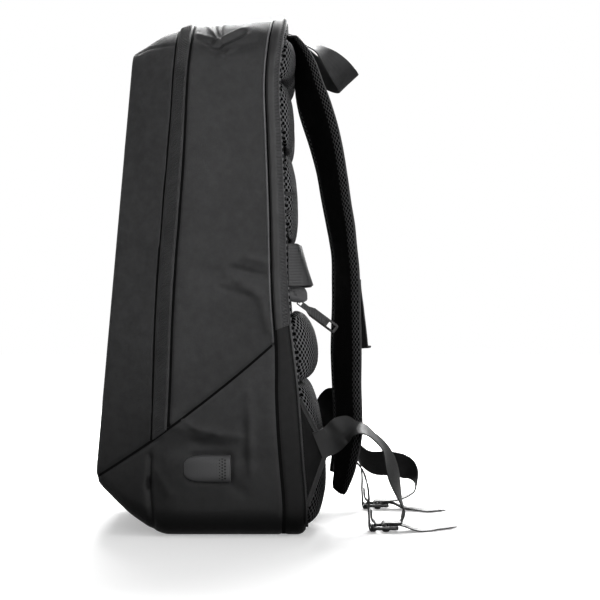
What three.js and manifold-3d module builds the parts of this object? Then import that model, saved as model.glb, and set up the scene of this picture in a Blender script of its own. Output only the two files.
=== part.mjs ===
// Laptop backpack standing on its base, in millimetres, with +Z up.
// The front face looks towards -Y, the wearer's side towards +Y, and +X is the wearer's right.
// The origin is the middle of the flat base, on the floor.
import * as THREE from "three";
import { mergeVertices } from "three/addons/utils/BufferGeometryUtils.js";
import Module from "manifold-3d";

const wasm = await Module();
wasm.setup();

// Bag body
const bodyHeight = 460;
const bodyWidth = 300;
const baseLength = 124; // flat part of the base, front to back
const bevelRun = 63; // bevel in front of the flat part
const bevelHeight = 52; // bottom edge of the front face
const frontHeight = 426; // top edge of the front face
const frontLean = 33; // how far the front face leans back by its top edge
const shoulderRadius = 50;
const hipRadius = 26;
const wall = 3; // padded fabric
const sideCrown = 3;
const frontCrown = 3;
const creaseDepth = 1.7;
const seamGap = 0.3; // between two panels that are sewn together
const seatGap = 0.3; // between a piece and what it lies on

// Zip flaps on the body
const flapThickness = 1.5;

// Back panel and its mesh pads
const backPanelThickness = 7;
const backPanelProud = 0.5; // how far it stands behind the back seam
const padChannel = 24; // air channel between the two columns of pads
const padSideMargin = 14; // from a pad's outer edge to the side of the bag
const padPuff = 20; // thickness of the fullest pad
const padEdge = 1.6;

// Webbing
const webThickness = 1.3;
const strapWebWidth = 25;
const handleWidth = 25;
const handleThickness = 1.6;
const trolleyBandWidth = 38;
const trolleyBandStand = 16; // how far the band's middle stands behind the back panel
const trolleyBandTilt = 16; // degrees that the band's face turns downwards

// Shoulder straps
const strapWidth = 64;
const strapThickness = 13;
const strapStand = 54; // furthest that a strap's middle stands behind the back panel
const strapSpread = 104; // a strap's furthest way out from the middle of the bag
const strapTwist = 16; // degrees that a strap turns its inner face outwards

// Grab handle
const handleSpan = 92; // between the middles of its two sewn ends
const handleReach = 57.5; // how far it hangs out behind the back panel
const handleDrop = 39; // how far it hangs down below its ends
const handleBelowTop = 7; // from the top of the bag down to its sewn ends
const handleRise = bodyHeight - handleBelowTop;

// Ladder-lock buckles at the lower ends of the straps
const buckleAcross = 103;
const buckleOut = 71; // behind the back seam at the floor
const buckleClear = 0.7; // under the lowest webbing in the buckle
const barThickness = 3;
const topBar = 3.5;
const topSlot = 8.2;
const middleBar = 3;
const lowSlot = 6.2;
const lowBar = 3.6;
const buckleSide = 4; // side rails of the buckle
const buckleSlack = 1.6; // slot longer than the webbing is wide

// Loops of slack webbing from the side wings to the buckles
const loopReach = 90; // furthest behind the back seam at the floor
const loopRise = 100;

// Side wings that anchor the slack webbing
const wingThickness = 3;
const wingReach = 22;
const wingInset = 5; // from the side of the bag to the wing's outer face

// Pocket on the back panel, with a zip under a rain flap
const pocketZipPlace = 0.4522; // height of the zip, a share of the body's height
const pocketZipRise = pocketZipPlace * bodyHeight;
const pocketZipHalf = 128; // half the length of the flap
const pocketFlapDepth = 17;
const pocketFlapHeight = 13;
const pocketFlapWall = 2.6;
const bandOverZip = 31; // from the zip up to the middle of the trolley band
const trolleyBandRise = pocketZipRise + bandOverZip;
const zipChainWidth = 5;
const zipChainThickness = 1.6;
const sliderLength = 9;
const sliderWidth = 6.5;
const sliderHeight = 3.2;
const sliderAcross = 120;
const bailRadius = 4;
const bailSink = 0.9; // of the bail's ends in the slider
const bailWire = 1.2;

// Pull tab of the pocket zip
const pullLength = 43;
const pullWidth = 8.8;
const pullThickness = 2;
const pullNeckWidth = 5;
const pullNeckLength = 12;
const pullEyeWidth = 2.8;
const pullEyeLength = 3.4;
const pullEyeWall = 1.2;
const pullWindowWidth = 4.6;
const pullWindowLength = 7;
const pullDroop = 36.6; // degrees below level

// Charging outlet on the wearer's right
const outletLength = 41;
const outletWidth = 23.5;
const outletHeight = 11;
const outletRoot = 6; // of the dome, cut away where it meets the panel
const outletFront = -45.5; // front tip, from the middle of the base
const outletRise = 60.4;
const socketWidth = 13.4;
const socketHeight = 6;
const socketDepth = 13;
const socketWall = 0.6;
const tongueThickness = 1.8;
const tongueMargin = 0.7;

// Pulls of the two main zips, on the wearer's left
const mainPullLength = 34;
const mainPullWidth = 8;
const mainPullThickness = 2.2;
const mainPullRise = 395;

// Body sections from the front face to the back seam. depth is the share of the way back, width
// a share of half the body's width, foot of the bevel's height, head of the body's height, and
// shoulder and hip of their radii.
const bodySections = [
  { depth: 0, width: 0.85, foot: 1, head: 0.926, shoulder: 0.24, hip: 0.5 },
  { depth: 0.012, width: 0.866, foot: 0.87, head: 0.93, shoulder: 0.28, hip: 0.54 },
  { depth: 0.07, width: 0.892, foot: 0.65, head: 0.942, shoulder: 0.44, hip: 0.62 },
  { depth: 0.15, width: 0.928, foot: 0.38, head: 0.959, shoulder: 0.62, hip: 0.72 },
  { depth: 0.22, width: 0.956, foot: 0.2, head: 0.971, shoulder: 0.76, hip: 0.82 },
  { depth: 0.28, width: 0.978, foot: 0.07, head: 0.977, shoulder: 0.86, hip: 0.92 },
  { depth: 0.34, width: 0.992, foot: 0, head: 0.984, shoulder: 0.94, hip: 1 },
  { depth: 0.4, width: 1, foot: 0, head: 0.9885, shoulder: 1, hip: 1 },
  { depth: 0.48, width: 1, foot: 0, head: 0.991, shoulder: 1, hip: 1 },
  { depth: 0.56, width: 1, foot: 0, head: 0.993, shoulder: 1, hip: 1 },
  { depth: 0.64, width: 1, foot: 0, head: 0.995, shoulder: 1, hip: 1 },
  { depth: 0.72, width: 1, foot: 0, head: 0.997, shoulder: 1, hip: 1 },
  { depth: 0.8, width: 1, foot: 0, head: 0.9985, shoulder: 1, hip: 1 },
  { depth: 0.96, width: 1, foot: 0, head: 1, shoulder: 1, hip: 1 },
  { depth: 1, width: 0.985, foot: 0.05, head: 0.995, shoulder: 0.95, hip: 0.95 },
];

// Back seam, seen from the side: rise is a share of the body's height, back of half the base.
const backSeam = [
  { rise: -0.1, back: 0.99 },
  { rise: 0, back: 1 },
  { rise: 0.06, back: 1.008 },
  { rise: 0.145, back: 0.96 },
  { rise: 0.295, back: 0.875 },
  { rise: 0.42, back: 0.765 },
  { rise: 0.5, back: 0.722 },
  { rise: 0.62, back: 0.69 },
  { rise: 0.76, back: 0.64 },
  { rise: 0.87, back: 0.608 },
  { rise: 0.95, back: 0.66 },
  { rise: 1, back: 0.73 },
  { rise: 1.1, back: 0.8 },
];

// Seams that run up the sides: rise is a share of the body's height, depth of the way back.
const frontZipSeam = [
  { rise: -0.1, depth: 0.31 },
  { rise: 1.1, depth: 0.33 },
];
const flapFrontEdge = [
  { rise: -0.1, depth: 0.28 },
  { rise: 0.37, depth: 0.266 },
  { rise: 0.62, depth: 0.278 },
  { rise: 0.84, depth: 0.3 },
  { rise: 1.1, depth: 0.292 },
];
const flapBackEdge = [
  { rise: -0.1, depth: 0.338 },
  { rise: 0.21, depth: 0.34 },
  { rise: 0.5, depth: 0.356 },
  { rise: 0.76, depth: 0.382 },
  { rise: 1.1, depth: 0.386 },
];
const rearZipSeam = [
  { rise: -0.1, depth: 0.892 },
  { rise: 0.08, depth: 0.89 },
  { rise: 0.26, depth: 0.886 },
  { rise: 0.4, depth: 0.912 },
  { rise: 1.1, depth: 0.914 },
];

// Slanted seam along the top of the boot: depth is the share of the way back and rise a share of
// the body's height.
const bootSeam = [
  { depth: 0, rise: 0.11 },
  { depth: 0.28, rise: 0.187 },
  { depth: 0.9, rise: 0.37 },
];
const rearFlapFoot = 0.4; // lower end of the rear zip flap, a share of the body's height

// Creases in the side panels: depth and rise place the middle, length and width are shares of the
// body's height, turn is in degrees up from level, and deep is a share of the crease depth.
const creases = [
  { depth: 0.6, rise: 0.92, length: 0.07, width: 0.016, turn: 35, deep: 1 },
  { depth: 0.68, rise: 0.945, length: 0.06, width: 0.018, turn: 38, deep: -0.9 },
  { depth: 0.74, rise: 0.5, length: 0.07, width: 0.03, turn: 25, deep: 0.9 },
  { depth: 0.84, rise: 0.45, length: 0.06, width: 0.022, turn: 50, deep: -0.8 },
  { depth: 0.5, rise: 0.2, length: 0.09, width: 0.014, turn: -18, deep: -0.9 },
  { depth: 0.52, rise: 0.165, length: 0.1, width: 0.02, turn: -8, deep: 0.9 },
  { depth: 0.86, rise: 0.24, length: 0.02, width: 0.09, turn: 0, deep: -0.7 },
  { depth: 0.28, rise: 0.1, length: 0.02, width: 0.07, turn: 0, deep: 1 },
];

// Mesh pads of one column, from the lowest up. foot and head are shares of the pocket zip's
// height for the pads under it, and of the way from the trolley band's middle up to the top of
// the bag for the pads over it. puff is a share of the fullest pad's thickness.
const lowPadRows = [
  { foot: 0.0487, head: 0.6458, puff: 0.86 },
  { foot: 0.659, head: 0.951, puff: 0.95 },
];
const highPadRows = [
  { foot: 0.0946, head: 0.4463, puff: 0.45 },
  { foot: 0.4546, head: 0.7315, puff: 0.42 },
  { foot: 0.7399, head: 0.9105, puff: 0.48 },
];

// Middle line of a shoulder strap, from the top seam down: rise is a share of the body's height,
// out of how far the strap stands out, across of its spread, wide and thick of its size, and turn
// of its twist.
const strapRows = [
  { rise: 0.972, out: 0.05, across: 0.6, wide: 0.84, thick: 0.3, turn: 0 },
  { rise: 0.966, out: 0.16, across: 0.605, wide: 0.86, thick: 0.42, turn: 0.15 },
  { rise: 0.95, out: 0.25, across: 0.62, wide: 0.9, thick: 0.58, turn: 0.4 },
  { rise: 0.92, out: 0.36, across: 0.65, wide: 0.95, thick: 0.78, turn: 0.88 },
  { rise: 0.87, out: 0.5, across: 0.7, wide: 0.98, thick: 0.92, turn: 1.22 },
  { rise: 0.83, out: 0.61, across: 0.735, wide: 1, thick: 1, turn: 1.28 },
  { rise: 0.789, out: 0.705, across: 0.77, wide: 1, thick: 1, turn: 1.2 },
  { rise: 0.728, out: 0.805, across: 0.82, wide: 1, thick: 1, turn: 1.05 },
  { rise: 0.648, out: 0.88, across: 0.87, wide: 1, thick: 1, turn: 0.95 },
  { rise: 0.589, out: 0.95, across: 0.905, wide: 1, thick: 1, turn: 0.85 },
  { rise: 0.533, out: 0.985, across: 0.935, wide: 1, thick: 1, turn: 0.85 },
  { rise: 0.452, out: 0.967, across: 0.97, wide: 1, thick: 1, turn: 0.9 },
  { rise: 0.384, out: 0.906, across: 0.985, wide: 1, thick: 1, turn: 1 },
  { rise: 0.296, out: 0.82, across: 1, wide: 0.98, thick: 1, turn: 1 },
  { rise: 0.226, out: 0.796, across: 1, wide: 0.96, thick: 0.98, turn: 1 },
  { rise: 0.185, out: 0.77, across: 1, wide: 0.93, thick: 0.95, turn: 1 },
  { rise: 0.142, out: 0.69, across: 0.995, wide: 0.88, thick: 0.85, turn: 0.95 },
  { rise: 0.118, out: 0.64, across: 0.99, wide: 0.82, thick: 0.75, turn: 0.9 },
  { rise: 0.099, out: 0.585, across: 0.985, wide: 0.74, thick: 0.62, turn: 0.85 },
];
const strapWebFrom = 0.07; // share of the strap where its outer webbing starts
const strapWebTo = 0.87; // and where it leaves the strap

// The webbing's way down from the strap to the buckle: up is the height over the buckle and short
// the distance in front of the buckle's edge, both shares of the fall.
const strapFall = 51;
const strapFallRows = [
  { up: 1, short: 0.12 },
  { up: 0.75, short: 0.035 },
  { up: 0.51, short: 0.006 },
  { up: 0.31, short: 0.012 },
  { up: 0.12, short: 0 },
];

// Grab handle from its right sewn end to its left one, which hangs lower: across is a share of
// half its span, out of its reach, drop of its drop, and side, back and low give the way that its
// width points.
const handleRows = [
  { across: 1, out: 0, drop: 0, side: 1, back: 0, low: 0 },
  { across: 1, out: 0.13, drop: 0.06, side: 1, back: 0, low: 0.02 },
  { across: 0.98, out: 0.29, drop: 0.2, side: 0.97, back: 0.15, low: 0.12 },
  { across: 0.93, out: 0.476, drop: 0.32, side: 0.93, back: 0.28, low: 0.22 },
  { across: 0.79, out: 0.688, drop: 0.57, side: 0.65, back: 0.47, low: 0.6 },
  { across: 0.5, out: 0.867, drop: 0.8, side: 0.3, back: 0.66, low: 0.69 },
  { across: 0, out: 1, drop: 1, side: 0, back: 0.74, low: 0.67 },
  { across: -0.3, out: 0.93, drop: 0.94, side: -0.1, back: 0.6, low: 0.8 },
  { across: -0.5, out: 0.78, drop: 0.85, side: -0.15, back: 0.35, low: 0.93 },
  { across: -0.64, out: 0.62, drop: 0.72, side: -0.2, back: 0.15, low: 0.97 },
  { across: -0.74, out: 0.48, drop: 0.54, side: -0.4, back: 0, low: 0.9 },
  { across: -0.86, out: 0.36, drop: 0.31, side: -0.75, back: 0, low: 0.65 },
  { across: -0.96, out: 0.24, drop: 0.1, side: -0.93, back: 0, low: 0.35 },
  { across: -1, out: 0.11, drop: 0.015, side: -1, back: 0, low: 0.05 },
  { across: -1, out: 0, drop: 0, side: -1, back: 0, low: 0 },
];

// Slack webbing from a wing round to the buckle: across is a share of the way from the buckle's
// line out to the wing, out of the loop's reach, rise of its height, and side, back and low give
// the way that its width points. Its first two rows are sewn to the wing.
const rightLoopRows = [
  { across: 1, out: 0.11, rise: 0.8, side: 0, back: 0.24, low: 0.97 },
  { across: 1.01, out: 0.245, rise: 0.855, side: 0, back: 0.24, low: 0.97 },
  { across: 1.07, out: 0.33, rise: 0.93, side: 0.12, back: 0.25, low: 0.95 },
  { across: 1.08, out: 0.41, rise: 0.965, side: 0.6, back: 0.2, low: 0.75 },
  { across: 1.07, out: 0.49, rise: 0.965, side: 0.9, back: 0.1, low: 0.4 },
  { across: 1.02, out: 0.57, rise: 0.945, side: 0.95, back: 0, low: 0.3 },
  { across: 0.92, out: 0.64, rise: 0.9, side: 0.97, back: -0.05, low: 0.2 },
  { across: 0.77, out: 0.71, rise: 0.83, side: 1, back: -0.1, low: 0.05 },
  { across: 0.6, out: 0.77, rise: 0.745, side: 0.97, back: -0.25, low: 0.05 },
  { across: 0.44, out: 0.822, rise: 0.64, side: 0.92, back: -0.4, low: 0.05 },
  { across: 0.3, out: 0.865, rise: 0.53, side: 0.9, back: -0.42, low: 0 },
  { across: 0.18, out: 0.905, rise: 0.41, side: 0.95, back: -0.3, low: 0 },
  { across: 0.09, out: 0.945, rise: 0.29, side: 1, back: -0.12, low: 0 },
  { across: 0.02, out: 0.975, rise: 0.19, side: 1, back: 0, low: 0 },
  { across: 0, out: 0.955, rise: 0.115, side: 1, back: 0, low: 0 },
];
const leftLoopRows = [
  { across: 1, out: 0.1, rise: 0.77, side: 0, back: 0.75, low: 0.66 },
  { across: 1, out: 0.2, rise: 0.885, side: 0, back: 0.75, low: 0.66 },
  { across: 1.05, out: 0.255, rise: 1.03, side: 0.25, back: 0.8, low: 0.5 },
  { across: 1.06, out: 0.29, rise: 1.13, side: 0.75, back: 0.6, low: 0.2 },
  { across: 1.06, out: 0.335, rise: 1.175, side: 1, back: 0.2, low: 0 },
  { across: 1.06, out: 0.4, rise: 1.13, side: 1, back: 0, low: 0.1 },
  { across: 1.06, out: 0.455, rise: 1, side: 1, back: -0.1, low: 0.1 },
  { across: 1.05, out: 0.5, rise: 0.82, side: 1, back: -0.1, low: 0 },
  { across: 1, out: 0.555, rise: 0.64, side: 0.9, back: -0.1, low: 0.2 },
  { across: 0.9, out: 0.62, rise: 0.52, side: 0.7, back: -0.2, low: 0.5 },
  { across: 0.77, out: 0.7, rise: 0.455, side: 0.45, back: 0, low: 0.8 },
  { across: 0.6, out: 0.78, rise: 0.435, side: 0.25, back: 0.1, low: 0.95 },
  { across: 0.43, out: 0.87, rise: 0.44, side: 0.15, back: 0.1, low: 0.98 },
  { across: 0.28, out: 0.97, rise: 0.44, side: 0.1, back: 0.1, low: 0.98 },
  { across: 0.16, out: 1.08, rise: 0.42, side: 0.15, back: 0.1, low: 0.97 },
  { across: 0.08, out: 1.17, rise: 0.37, side: 0.4, back: 0.1, low: 0.9 },
  { across: 0.03, out: 1.22, rise: 0.28, side: 0.8, back: 0, low: 0.6 },
  { across: 0, out: 1.2, rise: 0.17, side: 1, back: 0, low: 0.15 },
  { across: 0, out: 1.08, rise: 0.115, side: 1, back: 0, low: 0 },
];

// Loose tab of webbing on a strap's outer face, from where it is sewn on down to its curled end:
// rise is a share of the body's height and stand of how far the tab stands off.
const tabStand = 9;
const tabRows = [
  { rise: 0.49, stand: 0 },
  { rise: 0.47, stand: 0.04 },
  { rise: 0.44, stand: 0.22 },
  { rise: 0.41, stand: 0.42 },
  { rise: 0.385, stand: 0.56 },
  { rise: 0.366, stand: 0.66 },
  { rise: 0.36, stand: 0.78 },
  { rise: 0.359, stand: 0.9 },
  { rise: 0.363, stand: 1 },
];

// Loose end of the slack webbing beyond the buckle: past is a share of the tail's length beyond
// the low bar, drop of the way down to the floor, and inward of the tail's drift to the middle.
const tailLength = 46;
const tailDrift = 34;
const tailRows = [
  { past: 0.12, drop: 0.22, inward: 0 },
  { past: 0.24, drop: 0.62, inward: 0.03 },
  { past: 0.36, drop: 0.9, inward: 0.1 },
  { past: 0.48, drop: 1, inward: 0.2 },
  { past: 0.7, drop: 1, inward: 0.5 },
  { past: 1, drop: 1, inward: 1 },
];

// Outlet housing from its front tip to the mouth: along is a share of its length, wide of its
// width and high of its height.
const outletRows = [
  { along: 0, wide: 0.42, high: 0.16 },
  { along: 0.05, wide: 0.66, high: 0.3 },
  { along: 0.14, wide: 0.85, high: 0.46 },
  { along: 0.28, wide: 0.96, high: 0.62 },
  { along: 0.5, wide: 1, high: 0.79 },
  { along: 0.75, wide: 1, high: 0.93 },
  { along: 1, wide: 1, high: 1 },
];

const side = (r, g, b, roughness) =>
  new THREE.MeshStandardMaterial({ color: new THREE.Color(r, g, b), roughness, metalness: 0 });
const finishes = {
  shell: side(0.045, 0.045, 0.047, 0.55),
  ribbed: side(0.05, 0.05, 0.052, 0.7),
  mesh: side(0.035, 0.035, 0.036, 0.85),
  webbing: side(0.06, 0.06, 0.063, 0.6),
  plastic: side(0.03, 0.03, 0.03, 0.45),
  outlet: side(0.09, 0.09, 0.093, 0.5),
};

const halfWidth = bodyWidth / 2;
const halfBase = baseLength / 2;
const frontFoot = -halfBase - bevelRun;

// A smooth curve through a table's rows, read at any place along them.
function smooth(rows, key, value) {
  const slope = (i) => {
    const low = rows[Math.max(i - 1, 0)];
    const high = rows[Math.min(i + 1, rows.length - 1)];
    return (high[value] - low[value]) / (high[key] - low[key]);
  };
  return (at) => {
    const last = rows.length - 2;
    const found = rows.findIndex((row, i) => i <= last && at <= rows[i + 1][key]);
    const i = found < 0 ? last : found;
    const span = rows[i + 1][key] - rows[i][key];
    const t = THREE.MathUtils.clamp((at - rows[i][key]) / span, 0, 1);
    const tt = t * t;
    const ttt = tt * t;
    return (
      (2 * ttt - 3 * tt + 1) * rows[i][value] +
      (ttt - 2 * tt + t) * span * slope(i) +
      (3 * tt - 2 * ttt) * rows[i + 1][value] +
      (ttt - tt) * span * slope(i + 1)
    );
  };
}

const backSeamShare = smooth(backSeam, "rise", "back");
const backSeamY = (z) => halfBase * backSeamShare(z / bodyHeight);
const backFaceY = (z) => backSeamY(z) + backPanelProud;

function frontFaceY(z) {
  const share = (z - bevelHeight) / (frontHeight - bevelHeight);
  return frontFoot + frontLean * THREE.MathUtils.clamp(share, 0, 1.2);
}

const depthY = (depth, z) => THREE.MathUtils.lerp(frontFaceY(z), backSeamY(z), depth);
const depthAt = (y, z) => (y - frontFaceY(z)) / (backSeamY(z) - frontFaceY(z));

// The depth of a seam at a height, from its table.
function seamY(rows) {
  const depth = smooth(rows, "rise", "depth");
  return (z) => depthY(depth(z / bodyHeight), z);
}

// A closed solid from rings of points, each ring with as many points, closed by a fan at each end.
function skin(rings) {
  const count = rings[0].length;
  const middle = (ring) =>
    ring.reduce((sum, p) => sum.add(p), new THREE.Vector3()).divideScalar(ring.length);
  const points = [...rings.flat(), middle(rings[0]), middle(rings[rings.length - 1])];
  const first = points.length - 2;
  const triangles = [];
  for (let i = 0; i < rings.length - 1; i++)
    for (let j = 0; j < count; j++) {
      const a = i * count + j;
      const b = i * count + ((j + 1) % count);
      triangles.push([a, b, b + count], [a, b + count, a + count]);
    }
  const lastRing = (rings.length - 1) * count;
  for (let j = 0; j < count; j++) {
    triangles.push([first, (j + 1) % count, j]);
    triangles.push([first + 1, lastRing + j, lastRing + ((j + 1) % count)]);
  }
  const volume = triangles.reduce(
    (sum, [a, b, c]) => sum + points[a].dot(points[b].clone().cross(points[c])),
    0,
  );
  const turned = volume < 0 ? triangles.map(([a, b, c]) => [a, c, b]) : triangles;
  return new THREE.BufferGeometry()
    .setFromPoints(points)
    .setIndex(turned.flat());
}

function solidOf(geometry) {
  const bare = geometry.clone();
  bare.deleteAttribute("normal");
  bare.deleteAttribute("uv");
  const merged = mergeVertices(bare, 1e-4);
  return new wasm.Manifold(
    new wasm.Mesh({
      numProp: 3,
      vertProperties: new Float32Array(merged.attributes.position.array),
      triVerts: new Uint32Array(merged.index.array),
    }),
  );
}

function geometryOf(solid) {
  const mesh = solid.getMesh();
  return new THREE.BufferGeometry()
    .setAttribute("position", new THREE.BufferAttribute(mesh.vertProperties, 3))
    .setIndex(new THREE.BufferAttribute(mesh.triVerts, 1));
}

// The same shape on the other side of the bag.
const mirrored = (geometry) => geometryOf(solidOf(geometry).mirror([1, 0, 0]));

const bag = new THREE.Group();

function add(name, geometry, material, parent = bag) {
  geometry.computeVertexNormals();
  const mesh = new THREE.Mesh(geometry, material);
  mesh.name = name;
  parent.add(mesh);
  return mesh;
}

// A shape drawn in Y and Z, extruded across the bag and centred on its middle.
function acrossPrism(outline, width) {
  const shape = new THREE.Shape(outline.map(([y, z]) => new THREE.Vector2(y, z)));
  const turn = new THREE.Matrix4().set(0, 0, 1, -width / 2, 1, 0, 0, 0, 0, 1, 0, 0, 0, 0, 0, 1);
  return new THREE.ExtrudeGeometry(shape, { depth: width, bevelEnabled: false }).applyMatrix4(turn);
}

// How far a crease pushes in the side at a place, seen from the side.
function creasePush(y, z) {
  return creases.reduce((sum, crease) => {
    const turn = THREE.MathUtils.degToRad(crease.turn);
    const middleZ = crease.rise * bodyHeight;
    const dy = y - depthY(crease.depth, middleZ);
    const dz = z - middleZ;
    const along = (dy * Math.cos(turn) + dz * Math.sin(turn)) / (crease.length * bodyHeight);
    const over = (dz * Math.cos(turn) - dy * Math.sin(turn)) / (crease.width * bodyHeight);
    return sum + creaseDepth * crease.deep * Math.exp(-along * along - over * over);
  }, 0);
}

const widthShare = smooth(bodySections, "depth", "width");

// Half the bag's width at a depth and height, without its creases.
function sideX(depth, z) {
  const rise = THREE.MathUtils.clamp(z / bodyHeight, 0, 1);
  const crown = sideCrown * Math.sin(Math.PI * depth) * Math.sin(Math.PI * rise);
  return halfWidth * widthShare(depth) + crown;
}

// The bag's outline at one section, pulled in by inset: sides, shoulders, top, hips and bottom.
function sectionPoints(section, inset, sideSteps) {
  const half = halfWidth * section.width - inset;
  const foot = bevelHeight * section.foot + inset;
  const head = bodyHeight * section.head - inset;
  const shoulder = Math.max(shoulderRadius * section.shoulder - inset, 2);
  const hip = Math.max(hipRadius * section.hip - inset, 2);
  const right = [];
  const cornerSteps = 4;
  for (let i = 0; i < cornerSteps; i++) {
    const a = (-Math.PI / 2) * (1 - i / cornerSteps);
    right.push([half - hip + hip * Math.cos(a), foot + hip + hip * Math.sin(a)]);
  }
  for (let i = 0; i <= sideSteps; i++)
    right.push([half, THREE.MathUtils.lerp(foot + hip, head - shoulder, i / sideSteps)]);
  for (let i = 1; i <= cornerSteps; i++) {
    const a = (Math.PI / 2) * (i / cornerSteps);
    right.push([
      half - shoulder + shoulder * Math.cos(a),
      head - shoulder + shoulder * Math.sin(a),
    ]);
  }
  const topSteps = 3;
  const run = half - shoulder;
  for (let i = 1; i < topSteps; i++) right.push([run * (1 - i / topSteps), head]);
  const left = right.map(([x, z]) => [-x, z]).reverse();
  return [[0, foot], ...right, [0, head], ...left];
}

// One ring of the body. share shrinks it towards its middle, for the rings of the front face.
function bodyRing(section, inset, sideSteps, creased, share = 1, overrun = 0) {
  const middleZ = (bevelHeight * section.foot + bodyHeight * section.head) / 2;
  return sectionPoints(section, inset, sideSteps).map(([sectionX, sectionZ]) => {
    const z = middleZ + (sectionZ - middleZ) * share;
    const flat = depthY(section.depth, z) + (1 - section.depth) * inset + overrun;
    const y = flat - frontCrown * (1 - share * share);
    const out = Math.abs(sectionX) / (halfWidth * section.width - inset);
    const crown = sideX(section.depth, z) - halfWidth * widthShare(section.depth);
    const crease = creased ? creasePush(y, z) : 0;
    const push = (crown - crease) * out ** 8;
    return new THREE.Vector3(Math.sign(sectionX) * (Math.abs(sectionX) * share + push), y, z);
  });
}

// The bag's whole outer form, pulled in by inset, and running on past the back seam by overrun.
function bodyForm(inset, sideSteps, creased, overrun) {
  const frontShares = [0.35, 0.7];
  const frontRings = frontShares.map((share) =>
    bodyRing(bodySections[0], inset, sideSteps, creased, share),
  );
  const rings = bodySections.map((section) =>
    bodyRing(section, inset, sideSteps, creased, 1, section.depth === 1 ? overrun : 0),
  );
  return solidOf(skin([...frontRings, ...rings]));
}

const outerSteps = 9;
const innerSteps = 4;
const overrun = 12;
const cutMargin = 60;
const lowCut = -cutMargin / 2;
const highCut = bodyHeight + cutMargin / 2;
const cutWidth = bodyWidth + cutMargin;
const farFront = () => frontFoot - cutMargin;

// What lies between two seams, seen from the side.
function between(frontEdge, backEdge) {
  const steps = 22;
  const heights = Array.from({ length: steps + 1 }, (none, i) =>
    THREE.MathUtils.lerp(lowCut, highCut, i / steps),
  );
  const up = heights.map((z) => [backEdge(z), z]);
  const down = heights.map((z) => [frontEdge(z), z]).reverse();
  return solidOf(acrossPrism([...up, ...down], cutWidth));
}

const bootSeamPoints = bootSeam.map((row) => {
  const z = row.rise * bodyHeight;
  return [depthY(row.depth, z), z];
});

// Everything over the slanted seam of the boot, or under it.
function fromBootSeam(shift, limit) {
  const points = bootSeamPoints.map(([y, z]) => [y, z + shift]);
  const front = [farFront(), points[0][1]];
  const back = [halfBase + cutMargin, points[points.length - 1][1]];
  const line = [front, ...points, back];
  return solidOf(acrossPrism(
    limit > 0
      ? [...line, [back[0], limit], [front[0], limit]]
      : [...line.reverse(), [front[0], limit], [back[0], limit]],
    cutWidth,
  ));
}

const shifted = (edge, shift) => (z) => edge(z) + shift;
const frontZipY = seamY(frontZipSeam);
const rearZipY = seamY(rearZipSeam);

// Body panels, cut from one hollow shell along their seams.
function bodyPanels() {
  const shell = bodyForm(0, outerSteps, true, overrun).subtract(
    bodyForm(wall, innerSteps, false, 2 * overrun),
  );
  const half = seamGap / 2;
  const overSeam = fromBootSeam(half, highCut);
  const underSeam = fromBootSeam(-half, lowCut);
  const frontPart = between(farFront, shifted(frontZipY, -half));
  const middlePart = between(shifted(frontZipY, half), shifted(rearZipY, -half));
  const frontAndMiddle = between(farFront, shifted(rearZipY, -half));
  const rearPart = between(shifted(rearZipY, half), backSeamY);
  const cut = (...parts) => geometryOf(parts.reduce((solid, part) => solid.intersect(part), shell));
  add("front_panel", cut(frontPart, overSeam), finishes.shell);
  add("main_gusset", cut(middlePart, overSeam), finishes.shell);
  add("boot_panel", cut(frontAndMiddle, underSeam), finishes.shell);
  add("laptop_gusset", cut(rearPart), finishes.shell);
}

// The bag's outer form grown by a distance, which keeps a piece off the panels when cut from it.
const clearOf = (distance) => bodyForm(-distance, outerSteps, true, 2 * overrun);

// Rain flaps over the two main zips, lying on the panels.
function zipFlaps() {
  const form = bodyForm(-seatGap - flapThickness, outerSteps, true, overrun).subtract(
    clearOf(seatGap),
  );
  const frontFlap = between(seamY(flapFrontEdge), seamY(flapBackEdge));
  const front = form.intersect(frontFlap).intersect(fromBootSeam(2 * seamGap, highCut));
  add("front_zip_flap", geometryOf(front), finishes.ribbed);
  const rearFlap = between(shifted(rearZipY, seamGap), shifted(backSeamY, -seamGap));
  const footZ = rearFlapFoot * bodyHeight;
  const footSlope = 8;
  const overFoot = solidOf(acrossPrism(
    [
      [-halfBase, footZ - footSlope],
      [halfBase + cutMargin, footZ + footSlope],
      [halfBase + cutMargin, highCut],
      [-halfBase, highCut],
    ],
    cutWidth,
  ));
  add("rear_zip_flap", geometryOf(form.intersect(rearFlap).intersect(overFoot)), finishes.ribbed);
}

// Stiff padded panel against the wearer's back, set inside the back seam.
function backPanel() {
  const inset = wall + 2 * seatGap;
  const section = bodySections[bodySections.length - 1];
  const outline = sectionPoints(section, inset, innerSteps).map(([x, z]) => new THREE.Vector2(x, z));
  const depth = baseLength;
  const stand = new THREE.Matrix4().set(1, 0, 0, 0, 0, 0, -1, depth, 0, 1, 0, 0, 0, 0, 0, 1);
  const face = new THREE.ExtrudeGeometry(new THREE.Shape(outline), { depth, bevelEnabled: false });
  const board = between(shifted(backFaceY, -backPanelThickness), backFaceY);
  add("back_panel", geometryOf(board.intersect(solidOf(face.applyMatrix4(stand)))), finishes.shell);
}

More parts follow.
